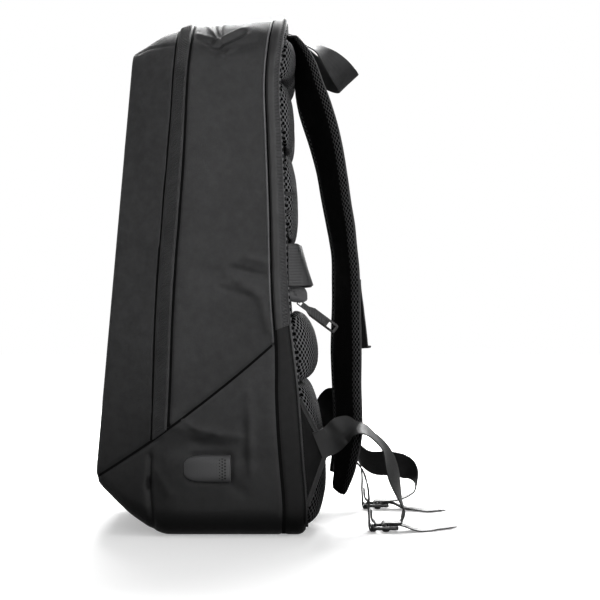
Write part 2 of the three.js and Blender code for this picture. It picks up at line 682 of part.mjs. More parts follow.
// One mesh pad of the right column, domed, with its back following the back panel.
function pad(low, high, puff) {
  const inner = padChannel / 2;
  const outer = halfWidth - padSideMargin;
  const middleX = (inner + outer) / 2;
  const half = (outer - inner) / 2;
  const endRings = 6;
  const archSteps = 7;
  const rings = [];
  for (let i = 0; i <= endRings; i++) {
    const t = (1 - Math.cos((Math.PI * i) / endRings)) / 2;
    const z = THREE.MathUtils.lerp(low, high, t);
    const fullness = Math.max(1 - Math.abs(2 * t - 1) ** 2.5, 0) ** 0.5;
    const wide = half * (0.93 + 0.07 * fullness);
    const rise = padPuff * puff * fullness;
    const base = backFaceY(z) + seatGap + 0.1;
    const ring = [new THREE.Vector3(-wide, base, z), new THREE.Vector3(wide, base, z)];
    for (let k = 0; k <= archSteps; k++) {
      const a = (Math.PI * k) / archSteps;
      const x = wide * Math.sign(Math.cos(a)) * Math.abs(Math.cos(a)) ** 0.6;
      ring.push(new THREE.Vector3(x, base + padEdge + rise * Math.sin(a) ** 0.8, z));
    }
    rings.push(ring.map((p) => p.setX(middleX + p.x)));
  }
  return skin(rings);
}

function backPads() {
  const over = (share) => THREE.MathUtils.lerp(trolleyBandRise, bodyHeight, share);
  const low = lowPadRows.map((row) =>
    pad(pocketZipRise * row.foot, pocketZipRise * row.head, row.puff),
  );
  const high = highPadRows.map((row) => pad(over(row.foot), over(row.head), row.puff));
  [...low, ...high].forEach((right, i) => {
    add(`back_pad_${i + 1}_right`, right, finishes.mesh);
    add(`back_pad_${i + 1}_left`, mirrored(right), finishes.mesh);
  });
}

// A curve's points with the way that its width points at each, and the way that its face looks.
function framesAlong(points, widths, steps) {
  const line = new THREE.CatmullRomCurve3(points, false, "centripetal");
  const turns = new THREE.CatmullRomCurve3(widths, false, "centripetal");
  return Array.from({ length: steps + 1 }, (none, i) => {
    const t = i / steps;
    const along = line.getTangent(t);
    const wide = turns.getPoint(t);
    wide.addScaledVector(along, -wide.dot(along)).normalize();
    return { at: line.getPoint(t), wide, face: wide.clone().cross(along).normalize() };
  });
}

const offsetFrom = (frame, across, out) =>
  frame.at.clone().addScaledVector(frame.wide, across).addScaledVector(frame.face, out);

// Flat webbing along a line.
function ribbon(frames, width, thickness = webThickness) {
  return skin(
    frames.map((frame) => [
      offsetFrom(frame, -width / 2, -thickness / 2),
      offsetFrom(frame, width / 2, -thickness / 2),
      offsetFrom(frame, width / 2, thickness / 2),
      offsetFrom(frame, -width / 2, thickness / 2),
    ]),
  );
}

// Middle line of the right shoulder strap, with its width, thickness and twist.
function strapFrames() {
  const points = [];
  const widths = [];
  for (const row of strapRows) {
    const z = row.rise * bodyHeight;
    const turn = THREE.MathUtils.degToRad(strapTwist * row.turn);
    const y = backFaceY(z) + strapStand * row.out;
    points.push(new THREE.Vector3(strapSpread * row.across, y, z));
    widths.push(new THREE.Vector3(Math.cos(turn), Math.sin(turn), 0));
  }
  const steps = 26;
  return framesAlong(points, widths, steps).map((frame, i) => {
    const place = (i / steps) * (strapRows.length - 1);
    const low = strapRows[Math.min(Math.floor(place), strapRows.length - 2)];
    const high = strapRows[strapRows.indexOf(low) + 1];
    const t = place - strapRows.indexOf(low);
    return {
      ...frame,
      width: strapWidth * THREE.MathUtils.lerp(low.wide, high.wide, t),
      thickness: strapThickness * THREE.MathUtils.lerp(low.thick, high.thick, t),
    };
  });
}

// Padded shoulder strap with rounded edges and a rounded lower end.
function strapPad(frames) {
  const corners = 12;
  const roundness = 0.7;
  const bulge = (value) => Math.sign(value) * Math.abs(value) ** roundness;
  const ring = (frame, share) =>
    Array.from({ length: corners }, (none, k) => {
      const a = (2 * Math.PI * (k + 0.5)) / corners;
      const across = (frame.width / 2) * share * bulge(Math.cos(a));
      return offsetFrom(frame, across, (frame.thickness / 2) * share ** 0.5 * bulge(Math.sin(a)));
    });
  const last = frames[frames.length - 1];
  const beyond = last.at.clone().sub(frames[frames.length - 2].at).normalize();
  const endRows = [
    { past: 0.12, share: 0.9 },
    { past: 0.2, share: 0.7 },
  ];
  const end = endRows.map((row) => {
    const at = last.at.clone().addScaledVector(beyond, last.width * row.past);
    return ring({ ...last, at }, row.share);
  });
  return skin([...frames.map((frame) => ring(frame, 1)), ...end]);
}

// The right buckle's own directions: past runs from the strap's side to the webbing's, up is up.
// Its zero is the middle of the middle bar.
const underWeb = barThickness / 2 + webThickness / 2 + 2 * seatGap + 0.3;
const buckleRise = underWeb + webThickness / 2 + buckleClear;
const buckleY = backSeamY(0) + buckleOut;
const inBuckle = (past, up, inward = 0) =>
  new THREE.Vector3(buckleAcross - inward, buckleY + past, buckleRise + up);
const topBarPast = -middleBar / 2 - topSlot - topBar / 2;
const lowBarPast = middleBar / 2 + lowSlot + lowBar / 2;

function buckle() {
  const slot = strapWebWidth + buckleSlack;
  const outer = slot / 2 + buckleSide;
  const start = topBarPast - topBar / 2;
  const end = lowBarPast + lowBar / 2;
  const corner = 2.5;
  const shape = new THREE.Shape();
  shape.moveTo(-outer + corner, start);
  shape.lineTo(outer - corner, start);
  shape.absarc(outer - corner, start + corner, corner, -Math.PI / 2, 0);
  shape.lineTo(outer, end - corner);
  shape.absarc(outer - corner, end - corner, corner, 0, Math.PI / 2);
  shape.lineTo(-outer + corner, end);
  shape.absarc(-outer + corner, end - corner, corner, Math.PI / 2, Math.PI);
  shape.lineTo(-outer, start + corner);
  shape.absarc(-outer + corner, start + corner, corner, Math.PI, 1.5 * Math.PI);
  const hole = (low, high) =>
    new THREE.Path([
      new THREE.Vector2(-slot / 2, low),
      new THREE.Vector2(-slot / 2, high),
      new THREE.Vector2(slot / 2, high),
      new THREE.Vector2(slot / 2, low),
    ]);
  shape.holes.push(hole(start + topBar, -middleBar / 2), hole(middleBar / 2, end - lowBar));
  const geometry = new THREE.ExtrudeGeometry(shape, {
    depth: barThickness,
    bevelEnabled: false,
    curveSegments: 3,
  });
  const at = inBuckle(0, -barThickness / 2);
  return geometry.translate(at.x, at.y, at.z);
}

// Webbing down the outer face of a strap, and on to a loop round the buckle's top bar.
function strapWebbing(frames) {
  const first = Math.round(strapWebFrom * (frames.length - 1));
  const last = Math.round(strapWebTo * (frames.length - 1));
  const sewn = frames.slice(first, last + 1).map((frame) => {
    const out = frame.thickness / 2 + seatGap + webThickness / 2;
    return { ...frame, at: offsetFrom(frame, 0, out) };
  });
  const round = webThickness / 2 + 2 * seatGap;
  const under = -barThickness / 2 - round;
  const left = topBarPast - topBar / 2 - round;
  const right = topBarPast + topBar / 2 + round;
  const double = webThickness + 2 * seatGap;
  const fall = strapFallRows.map((row) =>
    inBuckle(left - strapFall * row.short, strapFall * row.up),
  );
  const free = [
    ...fall,
    inBuckle(left, 0),
    inBuckle(left + 1, under),
    inBuckle(topBarPast, under),
    inBuckle(right - 1, under),
    inBuckle(right, 0),
    inBuckle(right - 0.8, -under + 1),
    inBuckle(topBarPast - 0.4, -under + 3.4),
    inBuckle(left + double, 9),
    inBuckle(left + double - 0.3, 16),
  ];
  const lastSewn = sewn[sewn.length - 1];
  const points = [lastSewn.at, ...free];
  const widths = [lastSewn.wide, ...free.map(() => new THREE.Vector3(1, 0, 0))];
  const loose = framesAlong(points, widths, 2 * (points.length - 1));
  return ribbon([...sewn, ...loose.slice(1)], strapWebWidth);
}

// The strap's frame at a height, between two of its frames.
function frameAt(frames, z) {
  const i = frames.findIndex((frame) => frame.at.z < z);
  const [high, low] = [frames[i - 1], frames[i]];
  const t = (high.at.z - z) / (high.at.z - low.at.z);
  return {
    at: high.at.clone().lerp(low.at, t),
    wide: high.wide,
    face: high.face,
    thickness: THREE.MathUtils.lerp(high.thickness, low.thickness, t),
  };
}

function strapTab(frames) {
  const rows = tabRows.map((row) => {
    const frame = frameAt(frames, row.rise * bodyHeight);
    const seat = frame.thickness / 2 + 2 * seatGap + 1.5 * webThickness + 0.2;
    return { ...frame, at: offsetFrom(frame, 0, seat + tabStand * row.stand) };
  });
  const points = rows.map((row) => row.at);
  const widths = rows.map((row) => row.wide);
  return ribbon(framesAlong(points, widths, 2 * (rows.length - 1)), strapWebWidth);
}

// Slack webbing from the right wing, round through the buckle, to its loose end.
function adjusterWebbing(rows) {
  const wingX = halfWidth - wingInset + seatGap + webThickness / 2 + 0.2;
  const points = [];
  const widths = [];
  for (const row of rows) {
    const x = THREE.MathUtils.lerp(buckleAcross, wingX, row.across);
    points.push(new THREE.Vector3(x, backSeamY(0) + loopReach * row.out, loopRise * row.rise));
    widths.push(new THREE.Vector3(row.side, row.back, -row.low));
  }
  const top = barThickness / 2 + webThickness / 2 + seatGap;
  const load = top + webThickness + seatGap;
  const threaded = [
    [lowBarPast + 5, load + 0.5],
    [lowBarPast, load],
    [middleBar / 2, load],
    [-middleBar / 2 - 0.2, load - 0.4],
    [-middleBar / 2 - 1.4, barThickness / 2],
    [-middleBar / 2 - 1.5, 0],
    [-middleBar / 2 - 0.7, -underWeb + 0.4],
    [0, -underWeb],
    [middleBar / 2 + 0.9, -underWeb + 0.4],
    [middleBar / 2 + 2.2, 0],
    [middleBar / 2 + 3.6, barThickness / 2 - 0.1],
    [lowBarPast - lowBar / 2, top],
    [lowBarPast + lowBar / 2, top],
  ].map(([past, up]) => inBuckle(past, up));
  const floorUp = webThickness / 2 + buckleClear - buckleRise;
  const tail = tailRows.map((row) =>
    inBuckle(
      lowBarPast + lowBar / 2 + tailLength * row.past,
      THREE.MathUtils.lerp(top, floorUp, row.drop),
      tailDrift * row.inward,
    ),
  );
  const level = [...threaded, ...tail].map(() => new THREE.Vector3(1, 0, 0));
  points.push(...threaded, ...tail);
  widths.push(...level);
  return ribbon(framesAlong(points, widths, 2 * (points.length - 1)), strapWebWidth);
}

// Three-cornered gusset behind the back seam, which anchors the slack webbing.
function wing() {
  const headZ = 1.22 * loopRise;
  const tipZ = 0.75 * loopRise;
  const footZ = 0.26 * loopRise;
  const seat = (z) => backFaceY(z) + 1.5 * seatGap;
  const tipY = backSeamY(tipZ) + wingReach;
  const outline = [
    [seat(footZ), footZ],
    [tipY - 1.5, tipZ - 3],
    [tipY, tipZ],
    [tipY - 0.6, tipZ + 3],
    [seat(headZ), headZ],
    [seat((headZ + tipZ) / 2), (headZ + tipZ) / 2],
    [seat(tipZ), tipZ],
    [seat((footZ + tipZ) / 2), (footZ + tipZ) / 2],
  ];
  const middleX = halfWidth - wingInset - wingThickness / 2;
  return acrossPrism(outline, wingThickness).translate(middleX, 0, 0);
}

function harness() {
  const frames = strapFrames();
  const pairs = [
    ["shoulder_strap", strapPad(frames), finishes.mesh],
    ["strap_webbing", strapWebbing(frames), finishes.webbing],
    ["strap_tab", strapTab(frames), finishes.webbing],
    ["ladder_lock", buckle(), finishes.plastic],
    ["side_wing", wing(), finishes.shell],
  ];
  for (const [name, right, material] of pairs) {
    add(`${name}_right`, right, material);
    add(`${name}_left`, mirrored(right), material);
  }
  add("adjuster_webbing_right", adjusterWebbing(rightLoopRows), finishes.webbing);
  add("adjuster_webbing_left", mirrored(adjusterWebbing(leftLoopRows)), finishes.webbing);
}

function grabHandle() {
  const points = handleRows.map(
    (row) =>
      new THREE.Vector3(
        (handleSpan / 2) * row.across,
        backFaceY(handleRise) + seatGap + handleReach * row.out,
        handleRise - handleDrop * row.drop,
      ),
  );
  const widths = handleRows.map((row) => new THREE.Vector3(row.side, -row.back, -row.low));
  const frames = framesAlong(points, widths, 3 * (points.length - 1));
  add("grab_handle", ribbon(frames, handleWidth, handleThickness), finishes.webbing);
}

// Webbing across the back panel, which slips over a suitcase's handle.
function trolleyBand() {
  const seat = backFaceY(trolleyBandRise) + seatGap + webThickness / 2 + 0.2;
  const tilted = (angle) => new THREE.Vector3(0, Math.sin(angle), -Math.cos(angle));
  const tilt = THREE.MathUtils.degToRad(trolleyBandTilt);
  const rise = trolleyBandWidth / 2;
  const slope = backFaceY(trolleyBandRise - rise) - backFaceY(trolleyBandRise + rise);
  const restTilt = Math.atan2(slope, trolleyBandWidth);
  const rows = [
    { across: 0.975, out: 0, tilt: 0 },
    { across: 0.968, out: 0.25, tilt: 0.1 },
    { across: 0.945, out: 0.62, tilt: 0.6 },
    { across: 0.88, out: 0.9, tilt: 1 },
    { across: 0.7, out: 1, tilt: 1 },
    { across: 0.35, out: 1, tilt: 0.9 },
  ];
  const half = rows.map((row) => ({
    at: new THREE.Vector3(halfWidth * row.across, seat + trolleyBandStand * row.out, trolleyBandRise),
    wide: tilted(THREE.MathUtils.lerp(restTilt, tilt, row.tilt)),
  }));
  const mirrored = [...half].reverse().map(({ at, wide }) => ({
    at: at.clone().multiply(new THREE.Vector3(-1, 1, 1)),
    wide,
  }));
  const all = [...half, ...mirrored];
  const frames = framesAlong(
    all.map((row) => row.at),
    all.map((row) => row.wide),
    3 * (all.length - 1),
  );
  add("trolley_band", ribbon(frames, trolleyBandWidth), finishes.webbing);
}

// Hood of fabric over the pocket's zip: a curved wall with open ends.
function pocketFlap() {
  const seat = backFaceY(pocketZipRise + pocketFlapHeight) + seatGap;
  const steps = 8;
  const arc = (grow) =>
    Array.from({ length: steps + 1 }, (none, i) => {
      const a = (Math.PI / 2) * (1 - i / steps);
      return [
        seat + (pocketFlapDepth - grow) * Math.cos(a) ** 0.8,
        pocketZipRise + 1 + (pocketFlapHeight - grow) * Math.sin(a) ** 0.8,
      ];
    });
  const outline = [...arc(0), ...arc(pocketFlapWall).reverse()];
  add("pocket_flap", acrossPrism(outline, 2 * pocketZipHalf), finishes.shell);
}

// The slider's bail and the pull tab point out and down. The tab turns about pullHinge, the
// middle of the bail's wire, and the axis X.
const droop = THREE.MathUtils.degToRad(pullDroop);
const pullOut = new THREE.Vector3(0, Math.cos(droop), -Math.sin(droop));
const bailRoot = new THREE.Vector3(
  sliderAcross,
  backFaceY(pocketZipRise) + seatGap + zipChainThickness + sliderHeight + 1.6,
  pocketZipRise - 0.4,
);
const pullHinge = bailRoot.clone().addScaledVector(pullOut, bailRadius - bailSink);

function pocketZip() {
  const seat = backFaceY(pocketZipRise) + seatGap;
  const chain = new THREE.BoxGeometry(2 * pocketZipHalf - 6, zipChainThickness, zipChainWidth);
  const chainZ = pocketZipRise + zipChainWidth / 2 + 0.6;
  add(
    "pocket_zip",
    chain.translate(0, seat + zipChainThickness / 2 + 0.2, chainZ),
    finishes.ribbed,
  );
  const body = new THREE.BoxGeometry(sliderLength, sliderHeight, sliderWidth);
  const bodyY = seat + zipChainThickness + 0.2 + seatGap + sliderHeight / 2;
  body.translate(sliderAcross, bodyY, pocketZipRise + sliderWidth / 2 - 1.2);
  const segments = 10;
  const arc = new THREE.CatmullRomCurve3(
    Array.from({ length: segments + 1 }, (none, i) => {
      const a = (Math.PI * i) / segments;
      const out = bailRadius * Math.sin(a) - bailSink;
      const at = bailRoot.clone().addScaledVector(pullOut, out);
      return at.setX(sliderAcross + bailRadius * Math.cos(a));
    }),
  );
  const roots = [1, -1].map((sign) => {
    const post = new THREE.BoxGeometry(bailWire, 3, 3);
    return solidOf(
      post.translate(sliderAcross + sign * bailRadius, bailRoot.y - 1.6, bailRoot.z + 0.8),
    );
  });
  const wire = new THREE.Shape().absarc(0, 0, bailWire / 2, 0, 2 * Math.PI);
  const bail = new THREE.ExtrudeGeometry(wire, {
    extrudePath: arc,
    steps: segments,
    curveSegments: 3,
  });
  const slider = roots.reduce((solid, root) => solid.add(root), solidOf(body)).add(solidOf(bail));
  add("pocket_zip_slider", geometryOf(slider), finishes.plastic);
}

// Flat pull tab with an eye for the slider's bail and a window near its tip.
function pocketPull() {
  const neck = pullNeckWidth / 2;
  const half = pullWidth / 2;
  const eyeMiddle = pullEyeLength / 2 - bailWire / 2 - seatGap;
  const start = eyeMiddle - pullEyeLength / 2 - pullEyeWall;
  const tip = start + pullLength;
  const tipCorner = 2;
  const shape = new THREE.Shape();
  shape.moveTo(start + 1, -neck);
  shape.lineTo(pullNeckLength - 3, -neck);
  shape.lineTo(pullNeckLength + 2, -half);
  shape.lineTo(tip - tipCorner, -half);
  shape.absarc(tip - tipCorner, -half + tipCorner, tipCorner, -Math.PI / 2, 0);
  shape.absarc(tip - tipCorner, half - tipCorner, tipCorner, 0, Math.PI / 2);
  shape.lineTo(pullNeckLength + 2, half);
  shape.lineTo(pullNeckLength - 3, neck);
  shape.lineTo(start + 1, neck);
  shape.lineTo(start, neck - 1);
  shape.lineTo(start, -neck + 1);
  const hole = (middle, length, width) =>
    new THREE.Path([
      new THREE.Vector2(middle - length / 2, -width / 2),
      new THREE.Vector2(middle - length / 2, width / 2),
      new THREE.Vector2(middle + length / 2, width / 2),
      new THREE.Vector2(middle + length / 2, -width / 2),
    ]);
  const eye = hole(eyeMiddle, pullEyeLength, pullEyeWidth);
  const frame = 2.4;
  const window = hole(tip - frame - pullWindowLength / 2, pullWindowLength, pullWindowWidth);
  shape.holes.push(eye, window);
  const plate = new THREE.ExtrudeGeometry(shape, {
    depth: pullThickness,
    bevelEnabled: false,
    curveSegments: 3,
  });
  plate.translate(0, 0, -pullThickness / 2);
  const up = new THREE.Vector3(0, Math.sin(droop), Math.cos(droop));
  const across = new THREE.Vector3().crossVectors(pullOut, up);
  const place = new THREE.Matrix4().makeBasis(pullOut, up, across).setPosition(pullHinge);
  add("pocket_zip_pull", plate.applyMatrix4(place), finishes.plastic);
}

// Domed housing of the charging outlet, with its mouth towards the wearer's side.
function chargingOutlet() {
  const mouthY = outletFront + outletLength;
  const seatX = sideX(depthAt(mouthY, outletRise), outletRise);
  const arcSteps = 8;
  const rings = outletRows.map((row) => {
    const y = outletFront + outletLength * row.along;
    const half = (outletWidth / 2) * row.wide;
    const seats = [-1, 1].map((end) => {
      const z = outletRise + end * half;
      return new THREE.Vector3(seatX - outletRoot, y, z);
    });
    const arch = Array.from({ length: arcSteps + 1 }, (none, k) => {
      const a = (Math.PI * k) / arcSteps;
      const z = outletRise + half * Math.sign(Math.cos(a)) * Math.abs(Math.cos(a)) ** 0.55;
      const high = 1 + (outletHeight * row.high - 1) * Math.sin(a) ** 0.55;
      return new THREE.Vector3(seatX + high, y, z);
    });
    return [...seats, ...arch];
  });
  const socketX = seatX + outletHeight / 2 + 0.6;
  const recess = new THREE.BoxGeometry(socketHeight, 2 * socketDepth, socketWidth);
  recess.translate(socketX, mouthY, outletRise);
  const housing = solidOf(skin(rings)).subtract(solidOf(recess)).subtract(clearOf(seatGap));
  add("outlet_housing", geometryOf(housing), finishes.outlet);

  const box = (x, length, z) => new THREE.BoxGeometry(x, length, z);
  const slack = 2 * seatGap;
  const length = socketDepth - 2 * seatGap;
  const middleY = mouthY - socketDepth + seatGap + length / 2;
  const shellOuter = box(socketHeight - slack, length, socketWidth - slack);
  const shellInner = box(
    socketHeight - slack - 2 * socketWall,
    length,
    socketWidth - slack - 2 * socketWall,
  );
  shellOuter.translate(socketX, middleY, outletRise);
  shellInner.translate(socketX, middleY + socketWall, outletRise);
  const tongueWidth = socketWidth - slack - 2 * socketWall - 2 * tongueMargin;
  const tongue = box(tongueThickness, length - 2, tongueWidth);
  tongue.translate(socketX + 0.9, middleY - 1, outletRise);
  const socket = solidOf(shellOuter).subtract(solidOf(shellInner)).add(solidOf(tongue));
  add("outlet_socket", geometryOf(socket), finishes.plastic);
}

// Slider and pull of a main zip in one plain piece, hanging against the left side of the bag.
function mainZipPull(name, edge) {
  const y = edge(mainPullRise);
  const headZ = mainPullRise;
  const footZ = headZ - mainPullLength;
  const headSize = 1.2 * mainPullWidth;
  const half = mainPullWidth / 2;
  const outline = [
    [-headSize / 2, headZ],
    [headSize / 2, headZ],
    [headSize / 2, headZ - headSize],
    [half, headZ - 1.3 * headSize],
    [half, footZ + 2],
    [half - 2, footZ],
    [2 - half, footZ],
    [-half, footZ + 2],
    [-half, headZ - 1.3 * headSize],
    [-headSize / 2, headZ - headSize],
  ].map(([along, z]) => [y + along, z]);
  const outX = sideX(depthAt(y, headZ), headZ) + 2 * seatGap + flapThickness + mainPullThickness;
  const block = acrossPrism(outline.reverse(), 2 * mainPullThickness);
  const pull = solidOf(block.translate(mainPullThickness - outX, 0, 0)).subtract(
    clearOf(2 * seatGap + flapThickness),
  );
  add(name, geometryOf(pull), finishes.plastic);
}

bodyPanels();
zipFlaps();
backPanel();
backPads();
harness();
grabHandle();
trolleyBand();
pocketFlap();
pocketZip();
pocketPull();
chargingOutlet();
mainZipPull("front_zip_pull", seamY(flapBackEdge));
mainZipPull("rear_zip_pull", shifted(rearZipY, 3));

export default bag;
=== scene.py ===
# Looks of the laptop backpack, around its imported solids. In metres, +Z up, with the front face
# towards -Y, the straps on +Y, and +X the wearer's right.
import math

import bmesh
import bpy
import numpy as np
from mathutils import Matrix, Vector


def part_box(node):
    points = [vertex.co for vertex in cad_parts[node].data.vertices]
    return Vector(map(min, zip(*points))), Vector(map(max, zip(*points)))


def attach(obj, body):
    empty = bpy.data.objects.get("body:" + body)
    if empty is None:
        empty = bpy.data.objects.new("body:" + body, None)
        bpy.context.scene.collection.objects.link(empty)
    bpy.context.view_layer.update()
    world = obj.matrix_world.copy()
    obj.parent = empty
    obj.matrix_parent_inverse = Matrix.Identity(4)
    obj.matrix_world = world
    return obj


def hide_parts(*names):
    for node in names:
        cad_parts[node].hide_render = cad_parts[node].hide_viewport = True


MM = 0.001

# Sizes of the bag, as its solids have them
HEIGHT = 460 * MM
HALF_WIDTH = 150 * MM
HALF_BASE = 62 * MM
BEVEL_RUN = 63 * MM
BEVEL_HEIGHT = 52 * MM
FRONT_HEIGHT = 426 * MM
FRONT_LEAN = 33 * MM
FRONT_FOOT = -HALF_BASE - BEVEL_RUN
SHOULDER_RADIUS = 50 * MM
HIP_RADIUS = 26 * MM
SIDE_CROWN = 3 * MM
FRONT_CROWN = 3 * MM
CREASE_DEPTH = 1.7 * MM
WALL = 2.6 * MM
BOARD_INSET = 3.6 * MM
BOARD_THICKNESS = 6.6 * MM
BACK_PROUD = 0.5 * MM
BOARD_PROUD = 1.4 * MM
SEAM_GAP = 0.15 * MM
FLAP_RISE = 1.75 * MM
FLAP_WALL = 1.3 * MM

# Sections of the body, from the front face to the back seam: depth as a share of the way back,
# half width, bevel height, top, shoulder radius and hip radius as shares of the bag's.
SECTIONS = np.array([
    (0, 0.85, 1, 0.926, 0.24, 0.5),
    (0.012, 0.866, 0.87, 0.93, 0.28, 0.54),
    (0.07, 0.892, 0.65, 0.942, 0.44, 0.62),
    (0.15, 0.928, 0.38, 0.959, 0.62, 0.72),
    (0.22, 0.956, 0.2, 0.971, 0.76, 0.82),
    (0.28, 0.978, 0.07, 0.977, 0.86, 0.92),
    (0.34, 0.992, 0, 0.984, 0.94, 1),
    (0.4, 1, 0, 0.9885, 1, 1),
    (0.56, 1, 0, 0.993, 1, 1),
    (0.72, 1, 0, 0.997, 1, 1),
    (0.8, 1, 0, 0.9985, 1, 1),
    (0.96, 1, 0, 1, 1, 1),
    (1, 0.985, 0.05, 0.995, 0.95, 0.95),
])
# Seams seen from the side: height as a share of the bag's, then a share of half the base for the
# back seam and of the way back for the others.
BACK_SEAM = [
    (-0.1, 0.99), (0, 1), (0.06, 1.008), (0.145, 0.96), (0.295, 0.875), (0.42, 0.765),
    (0.5, 0.722), (0.62, 0.69), (0.76, 0.64), (0.87, 0.608), (0.95, 0.66), (1, 0.73), (1.1, 0.8),
]
FRONT_ZIP = [(-0.1, 0.31), (1.1, 0.33)]
FLAP_FRONT = [(-0.1, 0.28), (0.37, 0.266), (0.62, 0.278), (0.84, 0.3), (1.1, 0.292)]
FLAP_BACK = [(-0.1, 0.338), (0.21, 0.34), (0.5, 0.356), (0.76, 0.382), (1.1, 0.386)]
REAR_ZIP = [(-0.1, 0.892), (0.08, 0.89), (0.26, 0.886), (0.4, 0.912), (1.1, 0.914)]
BOOT_SEAM = [(0, 0.11), (0.28, 0.187), (0.9, 0.37), (1.1, 0.43)]
REAR_FLAP_FOOT = 0.4
REAR_FLAP_SLOPE = 0.12

# Folds of the side panels: depth and height of the middle, length and width as shares of the
# bag's height, degrees up from level, and how deep as a share of the crease depth.
FOLDS = [
    (0.6, 0.92, 0.07, 0.016, 35, 1),
    (0.68, 0.945, 0.06, 0.018, 38, -0.9),
    (0.74, 0.5, 0.07, 0.03, 25, 0.9),
    (0.84, 0.45, 0.06, 0.022, 50, -0.8),
    (0.5, 0.2, 0.09, 0.014, -18, -0.9),
    (0.52, 0.165, 0.1, 0.02, -8, 0.9),
    (0.86, 0.24, 0.02, 0.09, 0, -0.7),
    (0.28, 0.1, 0.02, 0.07, 0, 1),
]


# Creases of the side panels: two ends (y, z), half width, and how deep it is pushed in, in mm.
STROKES = [
    (-16, 437, 3.5, 447.5, 1.5, -1.5),
    (-14, 433.5, 5, 444, 2.2, 1.5),
    (-27, 431, -13, 423.5, 2.4, -0.8),
    (-13, 423.5, -3, 429.5, 2.4, -0.8),
    (-22, 434, -11, 428, 3.2, 1.5),
    (0, 432, 19, 438, 6, 1.3),
    (-16, 439, -23, 448, 1.1, -0.7),
    (-15.5, 440, -19, 452, 1.1, 0.8),
    (-13.5, 438, -13, 456, 1.3, 1.1),
    (-18, 438, -32, 443, 1.6, -0.5),
    (-19, 436, -32, 438, 2, 0.4),
    (-2, 235.5, 23.5, 229.4, 3.0, 1.3),
    (11, 245, 24, 241.6, 3.2, -0.9),
    (2, 225, 20, 213, 4.4, -1.2),
    (-11, 218, 10, 211.7, 2.2, 0.9),
    (22, 208, 29, 182, 3.8, -1.1),
    (-34, 234, -14, 228, 8, 0.7),
    (-46, 102.9, -35.5, 95.9, 1.8, -0.8),
    (-35.5, 95.9, -19, 91.5, 1.8, -0.9),
    (-19, 91.5, 4, 88, 2.2, -0.6),
    (-36, 83, -2, 81, 5, 1.0),
    (11.5, 125, 13, 60, 3.6, -0.8),
    (6, 100, 6, 68, 4.5, 0.7),
    (-76, 68, -77, 46, 2.0, 2.0),
    (-77, 46, -74, 10, 2.4, 1.6),
    (-73, 62, -60, 40, 3.6, -0.5),
    (-22, 57, 6, 40, 5, 0.5),
    (-80, 250, -96, 180, 9, 0.8),
    (-70, 390, -88, 340, 8, -0.6),
]
STROKE_END = 5 * MM
STROKE_PUSH = 1.5  # the cloth is pushed further than the solids are
STROKES_FROM = 96 * MM  # out from the middle


def rows_at(rows, at, column=1):
    """A smooth curve through a table's rows, read at any places along them."""
    table = np.asarray(rows, float)
    keys, values = table[:, 0], table[:, column]
    at = np.asarray(at, float)
    i = np.clip(np.searchsorted(keys, at) - 1, 0, len(keys) - 2)
    low, high = np.maximum(np.arange(len(keys)) - 1, 0), np.minimum(np.arange(len(keys)) + 1, len(keys) - 1)
    slope = (values[high] - values[low]) / (keys[high] - keys[low])
    span = keys[i + 1] - keys[i]
    t = np.clip((at - keys[i]) / span, 0, 1)
    t2, t3 = t * t, t * t * t
    return (
        (2 * t3 - 3 * t2 + 1) * values[i]
        + (t3 - 2 * t2 + t) * span * slope[i]
        + (3 * t2 - 2 * t3) * values[i + 1]
        + (t3 - t2) * span * slope[i + 1]
    )


def back_seam_y(z):
    return HALF_BASE * rows_at(BACK_SEAM, z / HEIGHT)


def front_face_y(z):
    share = (z - BEVEL_HEIGHT) / (FRONT_HEIGHT - BEVEL_HEIGHT)
    return FRONT_FOOT + FRONT_LEAN * np.clip(share, 0, 1.2)


def depth_y(depth, z):
    front = front_face_y(z)
    return front + (back_seam_y(z) - front) * depth


def boot_z(depth):
    table = np.array(BOOT_SEAM)
    return HEIGHT * np.interp(depth, table[:, 0], table[:, 1])


def section_at(depth, inset=0.0):
    half = HALF_WIDTH * rows_at(SECTIONS, depth, 1) - inset
    foot = BEVEL_HEIGHT * np.maximum(rows_at(SECTIONS, depth, 2), 0) + inset
    head = HEIGHT * rows_at(SECTIONS, depth, 3) - inset
    shoulder = np.maximum(SHOULDER_RADIUS * rows_at(SECTIONS, depth, 4) - inset, 2 * MM)
    hip = np.maximum(HIP_RADIUS * rows_at(SECTIONS, depth, 5) - inset, 2 * MM)
    return half, foot, head, shoulder, hip


def outline_length(depth, inset=0.0):
    """Length of half a section's outline, from the middle of its bottom to the middle of its top."""
    half, foot, head, shoulder, hip = section_at(depth, inset)
    side = head - shoulder - foot - hip
    return half - hip + math.pi / 2 * hip + side + math.pi / 2 * shoulder + half - shoulder


def boot_length(depth):
    """Length along the outline from the middle of the bottom up to the boot's seam."""
    half, foot, head, shoulder, hip = section_at(depth)
    over = boot_z(depth) - foot - hip
    angle = np.arcsin(np.clip(over / hip, -1, 0))
    return half - hip + hip * (angle + math.pi / 2) + np.maximum(over, 0)


